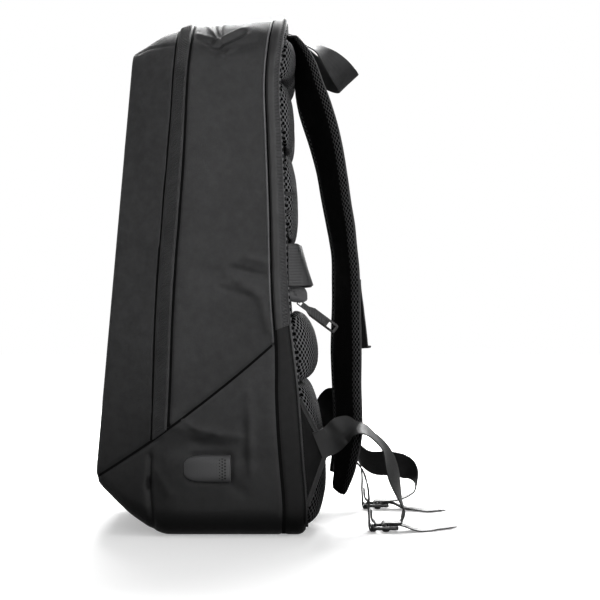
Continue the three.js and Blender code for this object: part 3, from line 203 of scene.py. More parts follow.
def outline_point(depth, run, inset=0.0):
    """Place on a section's outline at a length from the middle of its bottom: out and up."""
    half, foot, head, shoulder, hip = section_at(depth, inset)
    bottom = half - hip
    after_hip = bottom + math.pi / 2 * hip
    side = head - shoulder - foot - hip
    after_side = after_hip + side
    after_shoulder = after_side + math.pi / 2 * shoulder
    low_angle = np.clip((run - bottom) / hip, 0, math.pi / 2) - math.pi / 2
    high_angle = np.clip((run - after_side) / shoulder, 0, math.pi / 2)
    x = np.select(
        [run < bottom, run < after_hip, run < after_side, run < after_shoulder],
        [run, half - hip + hip * np.cos(low_angle), half, half - shoulder + shoulder * np.cos(high_angle)],
        half - shoulder - (run - after_shoulder),
    )
    z = np.select(
        [run < bottom, run < after_hip, run < after_side, run < after_shoulder],
        [foot, foot + hip + hip * np.sin(low_angle), foot + hip + run - after_hip,
         head - shoulder + shoulder * np.sin(high_angle)],
        head,
    )
    return x, z


def fold_push(y, z):
    """How far the folds push the side panel in at a place."""
    push = np.zeros_like(y)
    for depth, rise, length, width, turn, deep in FOLDS:
        angle = math.radians(turn)
        middle = rise * HEIGHT
        dy, dz = y - depth_y(depth, middle), z - middle
        along = (dy * math.cos(angle) + dz * math.sin(angle)) / (length * HEIGHT)
        over = (dz * math.cos(angle) - dy * math.sin(angle)) / (width * HEIGHT)
        push += CREASE_DEPTH * deep * np.exp(-along**2 - over**2)
    return push


def stroke_push(points):
    """How far the creases push the cloth in at each point. The left side's are a little weaker
    and further forward."""
    side = points[..., 0]
    fade = np.clip((np.abs(side) - STROKES_FROM) / (25 * MM), 0, 1) * np.where(side > 0, 1, 0.8)
    y = points[..., 1] + np.where(side > 0, 0, 7 * MM)
    z = points[..., 2]
    push = np.zeros_like(y)
    for row in STROKES:
        y0, z0, y1, z1, width, deep = (value * MM for value in row)
        run_y, run_z = y1 - y0, z1 - z0
        length = math.hypot(run_y, run_z)
        along = ((y - y0) * run_y + (z - z0) * run_z) / length
        over = ((z - z0) * run_y - (y - y0) * run_z) / length
        past = np.maximum(np.maximum(-along, along - length), 0)
        push += deep * np.exp(-((over / width) ** 2) - (past / STROKE_END) ** 2)
    return push * fade * STROKE_PUSH


def crowned(depth, x, y, z, sign):
    """A place on the body with the sides' crown and folds, on the right for sign 1."""
    half = section_at(depth)[0]
    rise = np.clip(z / HEIGHT, 0, 1)
    crown = SIDE_CROWN * np.sin(math.pi * np.clip(depth, 0, 1)) * np.sin(math.pi * rise)
    out = np.clip(np.abs(x) / half, 0, 1)
    push = (crown - fold_push(y, z)) * out**8
    return np.stack([sign * (x + push), y, z], -1)


def deselect():
    if bpy.context.mode != "OBJECT":
        bpy.ops.object.mode_set(mode="OBJECT")
    bpy.ops.object.select_all(action="DESELECT")


def make_active(piece):
    deselect()
    piece.select_set(True)
    bpy.context.view_layer.objects.active = piece


def apply_all(piece):
    make_active(piece)
    for modifier in list(piece.modifiers):
        bpy.ops.object.modifier_apply(modifier=modifier.name)


def cloth_sheet(name, points, uv):
    """A grid of rows by columns of points, with a map of the cloth's own width and length."""
    rows, columns = points.shape[:2]
    deselect()
    bpy.ops.mesh.primitive_grid_add(x_subdivisions=columns - 1, y_subdivisions=rows - 1, size=1)
    piece = bpy.context.active_object
    piece.name = name
    piece.data.name = name
    piece.data.vertices.foreach_set("co", points.reshape(-1).astype(np.float32))
    layer = piece.data.uv_layers.active or piece.data.uv_layers.new(name="UVMap")
    corners = np.zeros(len(piece.data.loops), np.int32)
    piece.data.loops.foreach_get("vertex_index", corners)
    layer.data.foreach_set("uv", uv.reshape(-1, 2)[corners].astype(np.float32).reshape(-1))
    piece.data.update()
    return piece


def finish_piece(piece, body, material, slot, *nodes):
    if material:
        piece.data.materials.clear()
        piece.data.materials.append(material)
    make_active(piece)
    bpy.ops.object.shade_smooth_by_angle(angle=math.radians(50))
    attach(piece, body)
    if nodes:
        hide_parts(*nodes)
    return piece


def thicken(piece, thickness):
    """Gives a sheet its wall, inwards."""
    modifier = piece.modifiers.new("wall", "SOLIDIFY")
    modifier.thickness = thickness
    modifier.offset = -1
    modifier.use_even_offset = False
    apply_all(piece)


def edge_roll(distance, deep=1.3 * MM, width=2.2 * MM):
    """How far a panel's edge turns in at a distance from its seam."""
    return deep * np.exp(-((distance / width) ** 2))


def outward(points):
    """The way that a grid of points faces at each of them."""
    along = np.gradient(points, axis=0)
    across = np.gradient(points, axis=1)
    normal = np.cross(across, along)
    length = np.linalg.norm(normal, axis=-1, keepdims=True)
    return normal / np.maximum(length, 1e-12)


def spaced(stations):
    """Places from -1 to 1, closer together on the bag's sides up to their shoulders."""
    even = np.linspace(-1, 1, 2001)
    share = 1 - np.abs(even)
    dense = 1 + 1.6 * np.exp(-(((share - 0.66) / 0.13) ** 2))
    total = np.concatenate([[0], np.cumsum((dense[1:] + dense[:-1]) / 2)])
    return np.interp(np.linspace(0, total[-1], stations), total, even)


def ring_patch(start_run, end_run, front, back, stations, columns):
    """Points of the body between two seams. Its rows run round from the right side over to the
    left, and its columns from the front seam to the back one. Runs are lengths from the middle of
    the bottom, seams are depths at a height."""
    share = np.linspace(0, 1, columns)[None, :]
    turn = spaced(stations)[:, None]
    reach = 1 - np.abs(turn)
    depth = np.full((stations, columns), 0.5)
    for _ in range(6):
        start, end = start_run(depth), end_run(depth)
        run = start + (end - start) * reach
        x, z = outline_point(depth, run)
        depth = front(z) + (back(z) - front(z)) * share
    sign = np.where(turn <= 0, 1.0, -1.0) * np.ones_like(depth)
    y = depth_y(depth, z)
    return crowned(depth, x, y, z, sign), depth, run


def seam_at(rows):
    return lambda z: rows_at(rows, z / HEIGHT)


def patch_uv(points, run):
    """Map of a patch, with its length round the bag and its width across as they really are."""
    step = np.linalg.norm(np.diff(points, axis=1), axis=-1)
    across = np.concatenate([np.zeros((len(points), 1)), np.cumsum(step, axis=1)], axis=1)
    step = np.linalg.norm(np.diff(points, axis=0), axis=-1)
    along = np.concatenate([np.zeros((1, points.shape[1])), np.cumsum(step, axis=0)], axis=0)
    middle = along[:, points.shape[1] // 2][:, None] * np.ones_like(across)
    return np.stack([across, middle], -1), across, middle


def edge_distances(points):
    """Distance of each point of a patch to its front, back, first and last edges."""
    uv, across, along = patch_uv(points, None)
    width = across[:, -1:]
    length = along[-1:, :]
    return across, width - across, along, length - along


def body_patch(name, points, rolls, extra=None):
    """A panel's sheet with its edges turned in: rolls are for front, back, first and last edge."""
    distances = edge_distances(points)
    push = np.zeros(points.shape[:2])
    for distance, deep in zip(distances, rolls):
        push += edge_roll(distance, deep)
    if extra is not None:
        push += extra
    push += stroke_push(points)
    moved = points - outward(points) * push[..., None]
    uv = patch_uv(points, None)[0]
    return cloth_sheet(name, moved, uv)


def near_line(points, line, deep, width):
    """Groove along a line that runs up the bag at the depth the line gives for a height."""
    y, z = points[..., 1], points[..., 2]
    return deep * np.exp(-(((y - depth_y(line(z), z)) / width) ** 2))


EDGE_TURN = 0.9 * MM  # of the front panel's edge at the boot's seam


def front_panel(material):
    zip_seam = seam_at(FRONT_ZIP)
    stations, side_columns, face_columns = 461, 34, 30
    start = lambda depth: boot_length(np.maximum(depth, 0.003)) + SEAM_GAP
    sides, depth, run = ring_patch(start, outline_length, lambda z: 0 * z, zip_seam, stations, side_columns)
    rim = sides[:, :1]
    shares = np.linspace(0, 1, face_columns)[None, :-1, None]
    middle = (BEVEL_HEIGHT + HEIGHT * SECTIONS[0][3]) / 2
    face = np.concatenate([rim[..., :1] * shares, 0 * rim[..., :1] * shares,
                           middle + (rim[..., 2:] - middle) * shares], -1)
    face[..., 1] = depth_y(0 * face[..., 2], face[..., 2]) - FRONT_CROWN * (1 - shares[..., 0] ** 2)
    points = np.concatenate([face, sides], 1)
    groove = near_line(points, lambda z: seam_at(FLAP_FRONT)(z), 1.3 * MM, 1.3 * MM)
    groove[:, :face_columns] = 0
    facet = top_facet_line(points[..., 1])
    crease = 0.9 * MM * np.exp(-(((points[..., 2] - facet) / (1.0 * MM)) ** 2))
    crease[:, : face_columns + 1] = 0
    crease *= np.abs(points[..., 0]) > 60 * MM
    first, last = edge_distances(points)[2:]
    flat = edge_roll(first, EDGE_TURN) + edge_roll(last, EDGE_TURN)
    flat[:, face_columns:] = 0
    panel = body_patch("front_panel_cloth", points, (0, 0, EDGE_TURN, EDGE_TURN), groove + crease - flat)
    low = face_foot(middle, shares, face_columns)
    uv = low[..., [0, 2]]
    foot = cloth_sheet("front_panel_foot", low, uv)
    deselect()
    foot.select_set(True)
    panel.select_set(True)
    bpy.context.view_layer.objects.active = panel
    bpy.ops.object.join()
    close_doubles(panel, 0.3 * MM)
    thicken(panel, WALL)
    return finish_piece(panel, "bag", material, "shell_fabric", "front_panel")


def top_facet_line(y):
    """Height of the seam between the front panel's side and its top, on its way back."""
    return np.interp(y, [-92 * MM, -79 * MM, -53 * MM], [425.5 * MM, 431.3 * MM, 433.6 * MM])


def face_foot(middle, shares, columns):
    """The front face's part along its bottom edge, from the left round to the right."""
    half = section_at(np.array(0.0))[0]
    reach = boot_length(np.array(0.003)) + SEAM_GAP
    turn = np.linspace(1, -1, 81)[:, None]
    x, z = outline_point(np.zeros_like(turn), np.abs(turn) * reach)
    share = np.concatenate([shares[..., 0], [[1.0]]], 1)
    out_x = -np.sign(turn) * x * share
    out_z = middle + (z - middle) * share
    y = depth_y(0 * out_z, out_z) - FRONT_CROWN * (1 - share**2)
    return np.stack([out_x, y, out_z], -1)


def close_doubles(piece, distance):
    make_active(piece)
    bpy.ops.object.mode_set(mode="EDIT")
    bpy.ops.mesh.select_all(action="SELECT")
    bpy.ops.mesh.remove_doubles(threshold=distance)
    bpy.ops.object.mode_set(mode="OBJECT")


def main_gusset(material):
    start = lambda depth: boot_length(depth) + SEAM_GAP
    front = lambda z: seam_at(FRONT_ZIP)(z) + 0.001
    back = lambda z: seam_at(REAR_ZIP)(z) - 0.001
    points, depth, run = ring_patch(start, outline_length, front, back, 681, 58)
    groove = near_line(points, seam_at(FLAP_BACK), 1.7 * MM, 1.6 * MM)
    panel = body_patch("main_gusset_cloth", points, (0, 1.8 * MM, 1.3 * MM, 1.3 * MM), groove)
    thicken(panel, WALL)
    return finish_piece(panel, "bag", material, "shell_fabric", "main_gusset")


def outlet_dent(points):
    """The cloth pulled in round the outlet's housing."""
    y, z = points[..., 1], points[..., 2]
    over_y = np.maximum(np.maximum(OUTLET_FRONT + 9 * MM - y, y - OUTLET_FRONT - OUTLET_LENGTH + 3 * MM), 0)
    over_z = np.maximum(np.abs(z - OUTLET_RISE) - OUTLET_WIDTH / 2 + 3 * MM, 0)
    away = np.hypot(over_y, over_z) - 3 * MM
    dent = 1.5 * MM * np.exp(-((np.maximum(away, 0) / (2.4 * MM)) ** 2))
    return dent * (points[..., 0] > 100 * MM)


def boot_panel(material):
    start = lambda depth: boot_length(depth) - SEAM_GAP
    end = lambda depth: 0 * depth
    back = lambda z: seam_at(REAR_ZIP)(z) - 0.001
    points, depth, run = ring_patch(start, end, back, lambda z: 0.003 + 0 * z, 381, 120)
    panel = body_patch("boot_panel_cloth", points, (1.0 * MM, 1.4 * MM, 1.1 * MM, 1.1 * MM), outlet_dent(points))
    thicken(panel, WALL)
    return finish_piece(panel, "bag", material, "shell_fabric", "boot_panel")


def laptop_gusset(material):
    end = lambda depth: outline_length(np.minimum(depth, 1))
    front = lambda z: seam_at(REAR_ZIP)(z) + 0.001
    points, depth, run = ring_patch(lambda depth: 0 * depth, end, front, lambda z: 1 + 0 * z, 641, 17)
    panel = body_patch("laptop_gusset_cloth", points, (1.0 * MM, 1.6 * MM, 0, 0))
    close_doubles(panel, 0.2 * MM)
    thicken(panel, WALL)
    return finish_piece(panel, "bag", material, "shell_fabric", "laptop_gusset")


def seam_line(line, start, end, stations=801):
    """Points of the body along a line that runs round it, and the way it faces there."""
    points = ring_patch(start, end, lambda z: line(z) - 0.012, lambda z: line(z) + 0.012, stations, 3)[0]
    return points[:, 1], outward(points)[:, 1]


def laid_strip(name, centre, face, half, thick, rise, profile, material, slot):
    """A tape, welt or piping laid along a line on the bag."""
    run = np.gradient(centre, axis=0)
    run /= np.linalg.norm(run, axis=1, keepdims=True)
    wide = np.cross(run, face)
    wide /= np.linalg.norm(wide, axis=1, keepdims=True)
    count = len(centre)
    places = np.concatenate([[0], np.cumsum(np.linalg.norm(np.diff(centre, axis=0), axis=1))])
    strip = closed_strip(name, centre + face * rise, wide, face, np.full(count, half),
                         np.full(count, thick), places, profile)
    turned_outward(strip)
    return finish_piece(strip, "bag", material, slot)


def round_profile(count=10):
    turn = 2 * math.pi * np.arange(count + 1) / count
    return list(zip(np.cos(turn), np.sin(turn)))


def flat_profile():
    return [(-1, 0), (-0.95, 1), (0, 1), (0.95, 1), (1, 0), (0.95, -1), (0, -1), (-0.95, -1), (-1, 0)]


def seam_trims(tape, piping_and_painted_highlight):
    """Near-black zip tapes beside the storm flaps and near-black welts in the seams, partly the real tapes and welts
    and partly painted shade in the seams' gaps; light piping round the back, and a light cord on the rear seam as a
    painted highlight.
    """
    foot = lambda depth: boot_length(depth) + 1.5 * MM
    ground = lambda depth: 4 * MM + 0 * depth
    # The tapes and welts are as dark as the shade in their gaps: painted shade.
    front = seam_line(lambda z: seam_at(FLAP_FRONT)(z) - 0.0085, foot, outline_length)
    laid_strip("front_zip_tape_fore", *front, 1.1 * MM, 0.5 * MM, -0.5 * MM, flat_profile(), tape, "ribbed_fabric")
    aft = seam_line(lambda z: seam_at(FLAP_BACK)(z) + 0.0085, foot, outline_length)
    laid_strip("front_zip_tape_aft", *aft, 1.5 * MM, 0.5 * MM, -0.7 * MM, flat_profile(), tape, "ribbed_fabric")
    rear = seam_line(lambda z: seam_at(REAR_ZIP)(z) + 0.0015, ground, outline_length)
    laid_strip("rear_seam_welt_and_painted_shade", *rear, 1.5 * MM, 0.6 * MM, -0.75 * MM, flat_profile(), tape, "ribbed_fabric")
    # A light cord along the gusset's rolled edge: a painted highlight where the edge catches light.
    edge = seam_line(lambda z: seam_at(REAR_ZIP)(z) - 0.015, foot, outline_length)
    laid_strip("rear_seam_painted_highlight", *edge, 0.9 * MM, 1.8 * MM, -0.2 * MM, round_profile(), piping_and_painted_highlight, "webbing")
    corner = lambda depth: run_at_height(depth, 9 * MM)
    back = seam_line(lambda z: 0.997 + 0 * z, corner, outline_length)
    laid_strip("back_edge_piping", *back, 1.1 * MM, 2.2 * MM, -0.5 * MM, round_profile(), piping_and_painted_highlight, "webbing")
    # Near-black welts in the boot seams: partly welt, partly painted shade.
    depth = np.linspace(0.004, 0.888, 261)[:, None]
    for side, sign in (("right", 1.0), ("left", -1.0)):
        run = boot_length(depth) + np.array([[-2, 0, 2]]) * MM
        x, z = outline_point(depth, run)
        y = depth_y(depth, z)
        points = crowned(depth, x, y, z, sign)
        face = outward(points)[:, 1]
        face *= np.sign(face[:, :1] * sign)
        laid_strip(f"boot_seam_welt_and_painted_shade_{side}", points[:, 1], face, 1.05 * MM, 0.5 * MM, -0.45 * MM,
                   flat_profile(), tape, "ribbed_fabric")


def back_board(material):
    """The padded panel against the wearer's back, set inside the back seam."""
    depth = np.array([[1.0]])
    stations, columns = 301, 34
    turn = np.linspace(-1, 1, stations)[:, None]
    length = outline_length(depth, BOARD_INSET)
    x, z = outline_point(depth, (1 - np.abs(turn)) * length, BOARD_INSET)
    share = np.linspace(1, 0, columns)[None, :]
    half, foot, head, shoulder, hip = section_at(depth, BOARD_INSET)
    middle = (foot + head) / 2
    sign = np.where(turn <= 0, 1.0, -1.0)
    out_x, out_z = sign * x * share, middle + (z - middle) * share
    y = back_seam_y(out_z) + BOARD_PROUD
    points = np.stack([out_x, y, out_z], -1)
    uv = points[..., [0, 2]]
    panel = cloth_sheet("back_panel_cloth", points, uv)
    close_doubles(panel, 0.2 * MM)
    thicken(panel, BOARD_THICKNESS)
    return finish_piece(panel, "bag", material, "shell_fabric", "back_panel")


def ribbed_flap(name, node, start, end, front, back, stations, columns, smooth_edge, material):
    """A storm flap that lies on the body, with ribs across it and its long edges turned down."""
    points, depth, run = ring_patch(start, end, front, back, stations, columns)
    points += outward(points) * FLAP_RISE
    to_front, to_back, to_first, to_last = edge_distances(points)
    edge = np.minimum(to_front, to_back)
    turned = 1.1 * MM * np.exp(-((edge / (0.8 * MM)) ** 2))
    rib = np.cos(2 * math.pi * to_first / (2.1 * MM))
    fade = np.clip((to_front - smooth_edge) / (0.6 * MM), 0, 1) * np.clip((to_back - 1.5 * MM) / (0.6 * MM), 0, 1)
    moved = points - outward(points) * (turned - 0.24 * MM * rib * fade)[..., None]
    flap = cloth_sheet(name, moved, patch_uv(points, run)[0])
    thicken(flap, FLAP_WALL)
    return finish_piece(flap, "bag", material, "ribbed_fabric", node)


def run_at_height(depth, z):
    """Length along the outline from the middle of the bottom up to a height on the side."""
    half, foot, head, shoulder, hip = section_at(depth)
    return half - hip + math.pi / 2 * hip + z - foot - hip


def zip_flaps(material, rear_material):
    boot_start = lambda depth: boot_length(depth) + 0.7 * MM
    ribbed_flap(
        "front_zip_flap_cloth", "front_zip_flap", boot_start, outline_length,
        seam_at(FLAP_FRONT), seam_at(FLAP_BACK), 2201, 15, 1.5 * MM, material,
    )
    foot = REAR_FLAP_FOOT * HEIGHT
    foot_start = lambda depth: run_at_height(depth, foot + (depth - 0.95) * 60 * MM)
    ribbed_flap(
        "rear_zip_flap_cloth", "rear_zip_flap", foot_start, outline_length,
        lambda z: seam_at(REAR_ZIP)(z) + 0.002, lambda z: 0.998 + 0 * z, 2001, 13, 8 * MM, rear_material,
    )


def new_material(name, color, roughness, specular=0.35, sheen=0.0):
    material = bpy.data.materials.new(name)
    material.use_nodes = True
    nodes = material.node_tree.nodes
    shader = nodes["Principled BSDF"]
    shader.inputs["Base Color"].default_value = (*color, 1)
    shader.inputs["Roughness"].default_value = roughness
    shader.inputs["Specular IOR Level"].default_value = specular
    shader.inputs["Sheen Weight"].default_value = sheen
    return material, material.node_tree, shader


def add_node(tree, kind, settings, *values):
    """A node with its settings, whose inputs get these values or sockets in order."""
    made = tree.nodes.new(kind)
    for key, value in settings.items():
        setattr(made, key, value)
    for socket, value in zip(made.inputs, values):
        if value is None:
            continue
        if isinstance(value, bpy.types.NodeSocket):
            tree.links.new(value, socket)
        else:
            socket.default_value = value
    return made


def math_node(tree, operation, *values):
    return add_node(tree, "ShaderNodeMath", {"operation": operation}, *values).outputs[0]


def ramp_node(tree, value, low, high, to_low=0.0, to_high=1.0):
    """A smooth step of a value from one level to another."""
    settings = {"interpolation_type": "SMOOTHSTEP"}
    return add_node(tree, "ShaderNodeMapRange", settings, value, low, high, to_low, to_high).outputs[0]


def noise_node(tree, coordinates, scale, detail=3.0, roughness=0.5):
    settings = {"noise_dimensions": "3D"}
    made = add_node(tree, "ShaderNodeTexNoise", settings, coordinates)
    made.inputs["Scale"].default_value = scale
    made.inputs["Detail"].default_value = detail
    made.inputs["Roughness"].default_value = roughness
    return made.outputs["Fac"]


def object_place(tree):
    return add_node(tree, "ShaderNodeTexCoord", {}).outputs["Object"]


def cloth_place(tree):
    """Across and along the cloth, in metres."""
    place = add_node(tree, "ShaderNodeUVMap", {}).outputs[0]
    parts = add_node(tree, "ShaderNodeSeparateXYZ", {}, place)
    return parts.outputs[0], parts.outputs[1]


def wave(tree, place, pitch):
    turned = math_node(tree, "MULTIPLY", place, 2 * math.pi / pitch)
    return math_node(tree, "SINE", turned)


def bump_node(tree, height, distance, strength=1.0, under=None):
    made = add_node(tree, "ShaderNodeBump", {})
    made.inputs["Distance"].default_value = distance
    made.inputs["Strength"].default_value = strength
    tree.links.new(height, made.inputs["Height"])
    if under:
        tree.links.new(under, made.inputs["Normal"])
    return made.outputs[0]


def shaded(tree, factor, dark, light):
    """A colour between two, by a factor."""
    made = add_node(tree, "ShaderNodeMix", {"data_type": "RGBA"})
    tree.links.new(factor, made.inputs["Factor"])
    made.inputs["A"].default_value = (*dark, 1)
    made.inputs["B"].default_value = (*light, 1)
    return made.outputs["Result"]


def grey(value, tint=1.03):
    return (value, value, value * tint)


def woven_fabric(name, color, roughness, specular, crumple, foot=1.0, painted_shade_top=150 * MM, pitch=0.75 * MM):
    """Plain-woven bag cloth with a faint grain, worn lighter here and there, and darker towards the floor as painted
    shade.
    """
    material, tree, shader = new_material(name, grey(color), roughness, specular)
    place = object_place(tree)
    across, along = cloth_place(tree)
    weave = math_node(tree, "MULTIPLY", wave(tree, across, pitch), wave(tree, along, pitch))
    grain = noise_node(tree, place, 900, 2)
    patches = noise_node(tree, place, 11, 4, 0.6)
    mottle = noise_node(tree, place, 120, 3, 0.7)
    tone = math_node(tree, "ADD", math_node(tree, "MULTIPLY", patches, 0.5), math_node(tree, "MULTIPLY", mottle, 0.5))
    factor = ramp_node(tree, tone, 0.3, 0.7, 0.64, 1.0)
    # Painted shade: the colour darkens towards the floor, down to the share foot of itself at the bottom.
    up = add_node(tree, "ShaderNodeSeparateXYZ", {}, place).outputs[2]
    factor = math_node(tree, "MULTIPLY", factor, ramp_node(tree, up, 5 * MM, painted_shade_top, foot, 1.0))
    tree.links.new(shaded(tree, factor, grey(0), grey(color * 1.22)), shader.inputs["Base Color"])
    rough = ramp_node(tree, tone, 0.3, 0.7, roughness + 0.06, roughness - 0.05)
    tree.links.new(rough, shader.inputs["Roughness"])
    soft = bump_node(tree, noise_node(tree, place, 26, 4, 0.55), crumple)
    fine = bump_node(tree, weave, 0.05 * MM, 1.0, soft)
    tree.links.new(bump_node(tree, grain, 0.06 * MM, 1.0, fine), shader.inputs["Normal"])
    return material


# Height up to which mesh is painted darker towards the floor, as painted shade.
PAINTED_SHADE_TO = 150 * MM


def ribbed_cloth():
    """Stiff storm-flap cloth, whose ribs are in the mesh and whose threads are fine."""
    material, tree, shader = new_material("ribbed_fabric", grey(0.032), 0.55, 0.4)
    place = object_place(tree)
    across, along = cloth_place(tree)
    threads = math_node(tree, "ADD", wave(tree, across, 0.7 * MM), wave(tree, along, 0.52 * MM))
    patches = noise_node(tree, place, 60, 3, 0.6)
    factor = ramp_node(tree, patches, 0.3, 0.7)
    tree.links.new(shaded(tree, factor, grey(0.017), grey(0.028)), shader.inputs["Base Color"])
    tree.links.new(bump_node(tree, threads, 0.03 * MM), shader.inputs["Normal"])
    return material


def ribbed_band():
    """Cloth of the rear storm flap: plain along its front edge, then fine ribs across it. Its rib valleys and the strip
    by the seam are painted darker: painted shade.
    """
    material, tree, shader = new_material("rear_band_fabric", grey(0.024), 0.55, 0.35)
    place = object_place(tree)
    across, along = cloth_place(tree)
    inside = ramp_node(tree, across, 6.5 * MM, 7.3 * MM)
    outside = ramp_node(tree, across, 12.2 * MM, 12.8 * MM, 1.0, 0.0)
    part = math_node(tree, "MULTIPLY", inside, outside)
    ribs = math_node(tree, "MULTIPLY", wave(tree, along, 1.25 * MM), part)
    cords = math_node(tree, "MULTIPLY", wave(tree, across, 1.1 * MM), math_node(tree, "SUBTRACT", 1.0, part))
    height = math_node(tree, "ADD", ribs, math_node(tree, "MULTIPLY", cords, 0.35))
    patches = noise_node(tree, place, 60, 3, 0.6)
    # Painted shade: darker in the rib valleys.
    tone = math_node(tree, "ADD", math_node(tree, "MULTIPLY", ribs, 0.5), patches)
    factor = ramp_node(tree, tone, 0.1, 0.9)
    # Painted shade: darker along the front edge, by the seam.
    factor = math_node(tree, "MULTIPLY", factor, ramp_node(tree, across, 4 * MM, 8 * MM, 0.25, 1.0))
    tree.links.new(shaded(tree, factor, grey(0.012), grey(0.062)), shader.inputs["Base Color"])
    tree.links.new(bump_node(tree, height, 0.12 * MM), shader.inputs["Normal"])
    return material


def hole_lattice(tree, across, along, pitch, stretch=1.0):
    """Distance from the middle of the nearest hole of a diamond lattice, in pitches."""
    u = math_node(tree, "DIVIDE", across, pitch)
    v = math_node(tree, "DIVIDE", along, pitch * stretch)
    place = add_node(tree, "ShaderNodeCombineXYZ", {}, math_node(tree, "ADD", u, v), math_node(tree, "SUBTRACT", u, v))
    cells = add_node(tree, "ShaderNodeTexVoronoi", {"voronoi_dimensions": "2D"}, place.outputs[0])
    cells.inputs["Scale"].default_value = 1
    cells.inputs["Randomness"].default_value = 0
    return cells.outputs["Distance"]


def air_mesh(name, color, across_along, pitch, stretch, hole=0.4):
    """Knitted spacer mesh with dark open holes in slanting rows."""
    material, tree, shader = new_material(name, grey(color), 0.7, 0.25)
    place = object_place(tree)
    across, along = across_along(tree, place)
    distance = hole_lattice(tree, across, along, pitch, stretch)
    wobble = math_node(tree, "MULTIPLY", math_node(tree, "SUBTRACT", noise_node(tree, place, 700, 2), 0.5), 0.16)
    distance = math_node(tree, "ADD", distance, wobble)
    open_part = ramp_node(tree, distance, hole - 0.1, hole + 0.14)
    up = add_node(tree, "ShaderNodeSeparateXYZ", {}, place).outputs[2]
    # Painted shade: darker towards the floor.
    tone = math_node(tree, "MULTIPLY", open_part, ramp_node(tree, up, 30 * MM, PAINTED_SHADE_TO, 0.3, 1.0))
    tree.links.new(shaded(tree, tone, grey(color * 0.02), grey(color)), shader.inputs["Base Color"])
    gloss = math_node(tree, "MULTIPLY", tone, 0.35)
    tree.links.new(gloss, shader.inputs["Specular IOR Level"])
    threads = math_node(tree, "MULTIPLY", wave(tree, math_node(tree, "ADD", across, along), 0.6 * MM), 0.12)
    height = math_node(tree, "ADD", open_part, threads)
    tree.links.new(bump_node(tree, height, 0.5 * MM), shader.inputs["Normal"])
    return material


def on_cloth(tree, place):
    return cloth_place(tree)


def webbing_cloth(name, color, roughness=0.55, specular=0.4):
    """Close-woven strap webbing: fine ridges along it, crossed by slanting threads."""
    material, tree, shader = new_material(name, grey(color), roughness, specular)
    place = object_place(tree)
    across, along = cloth_place(tree)
    fold = math_node(tree, "PINGPONG", across, 2.1 * MM)
    chevron = wave(tree, math_node(tree, "ADD", along, fold), 1.05 * MM)
    ridges = wave(tree, across, 1.4 * MM)
    height = math_node(tree, "ADD", math_node(tree, "MULTIPLY", chevron, 0.6), math_node(tree, "MULTIPLY", ridges, 0.4))
    tone = ramp_node(tree, noise_node(tree, place, 90, 3, 0.6), 0.3, 0.7)
    tree.links.new(shaded(tree, tone, grey(color * 0.82), grey(color * 1.2)), shader.inputs["Base Color"])
    tree.links.new(bump_node(tree, height, 0.07 * MM), shader.inputs["Normal"])
    return material


def band_cloth(name, color):
    """Webbing of the trolley band, with strong ribs where it turns in to the seam."""
    material, tree, shader = new_material(name, grey(color), 0.55, 0.4)
    place = object_place(tree)
    parts = add_node(tree, "ShaderNodeSeparateXYZ", {}, place)
    by_seam = ramp_node(tree, parts.outputs[1], 56 * MM, 60 * MM, 1.0, 0.15)
    ribs = math_node(tree, "MULTIPLY", wave(tree, parts.outputs[2], 1.35 * MM), by_seam)
    edge = math_node(tree, "ABSOLUTE", math_node(tree, "SUBTRACT", parts.outputs[2], BAND_MIDDLE))
    inside = ramp_node(tree, edge, BAND_HALF - 1.6 * MM, BAND_HALF - 0.6 * MM, 1.0, 0.08)
    tone = math_node(tree, "ADD", math_node(tree, "MULTIPLY", ribs, 0.3), 0.5)
    tone = math_node(tree, "MULTIPLY", ramp_node(tree, tone, 0.1, 0.9), inside)
    tree.links.new(shaded(tree, tone, grey(color * 0.3), grey(color * 1.5)), shader.inputs["Base Color"])
    tree.links.new(bump_node(tree, ribs, 0.12 * MM), shader.inputs["Normal"])
    return material


BAND_MIDDLE = 239 * MM
BAND_HALF = 19 * MM


def pull_plastic(name, color):
    """Zip pull: a finely hatched grip between black rims."""
    material, tree, shader = new_material(name, grey(color), 0.5, 0.4)
    place = object_place(tree)
    turned = add_node(tree, "ShaderNodeMapping", {"vector_type": "TEXTURE"}, place)
    turned.inputs["Location"].default_value = PULL_HINGE
    turned.inputs["Rotation"].default_value = (PULL_SLANT, 0, 0)
    parts = add_node(tree, "ShaderNodeSeparateXYZ", {}, turned.outputs[0])
    along, across = parts.outputs[1], parts.outputs[2]
    hatch = wave(tree, math_node(tree, "ADD", along, math_node(tree, "MULTIPLY", across, 0.8)), 1.9 * MM)
    rim = ramp_node(tree, math_node(tree, "ABSOLUTE", across), 2.1 * MM, 2.9 * MM, 1.0, 0.0)
    grip = math_node(tree, "MULTIPLY", ramp_node(tree, along, 27 * MM, 28 * MM, 1.0, 0.0), rim)
    tone = math_node(tree, "MULTIPLY", ramp_node(tree, hatch, -1.0, 1.0, 0.45, 1.0), grip)
    tree.links.new(shaded(tree, tone, grey(color * 0.06), grey(color)), shader.inputs["Base Color"])
    tree.links.new(bump_node(tree, math_node(tree, "MULTIPLY", hatch, grip), 0.1 * MM), shader.inputs["Normal"])
    return material


PULL_HINGE = (120 * MM, 55.8 * MM, 205.75 * MM)
PULL_SLANT = math.radians(-37)


def moulded_plastic(name, color, roughness, specular=0.45):
    """Moulded plastic with a fine spark-eroded grain."""
    material, tree, shader = new_material(name, grey(color), roughness, specular)
    place = object_place(tree)
    grain = noise_node(tree, place, 1600, 2)
    tone = ramp_node(tree, noise_node(tree, place, 70, 3), 0.3, 0.7)
    tree.links.new(shaded(tree, tone, grey(color * 0.9), grey(color * 1.1)), shader.inputs["Base Color"])
    tree.links.new(bump_node(tree, grain, 0.03 * MM), shader.inputs["Normal"])
    return material


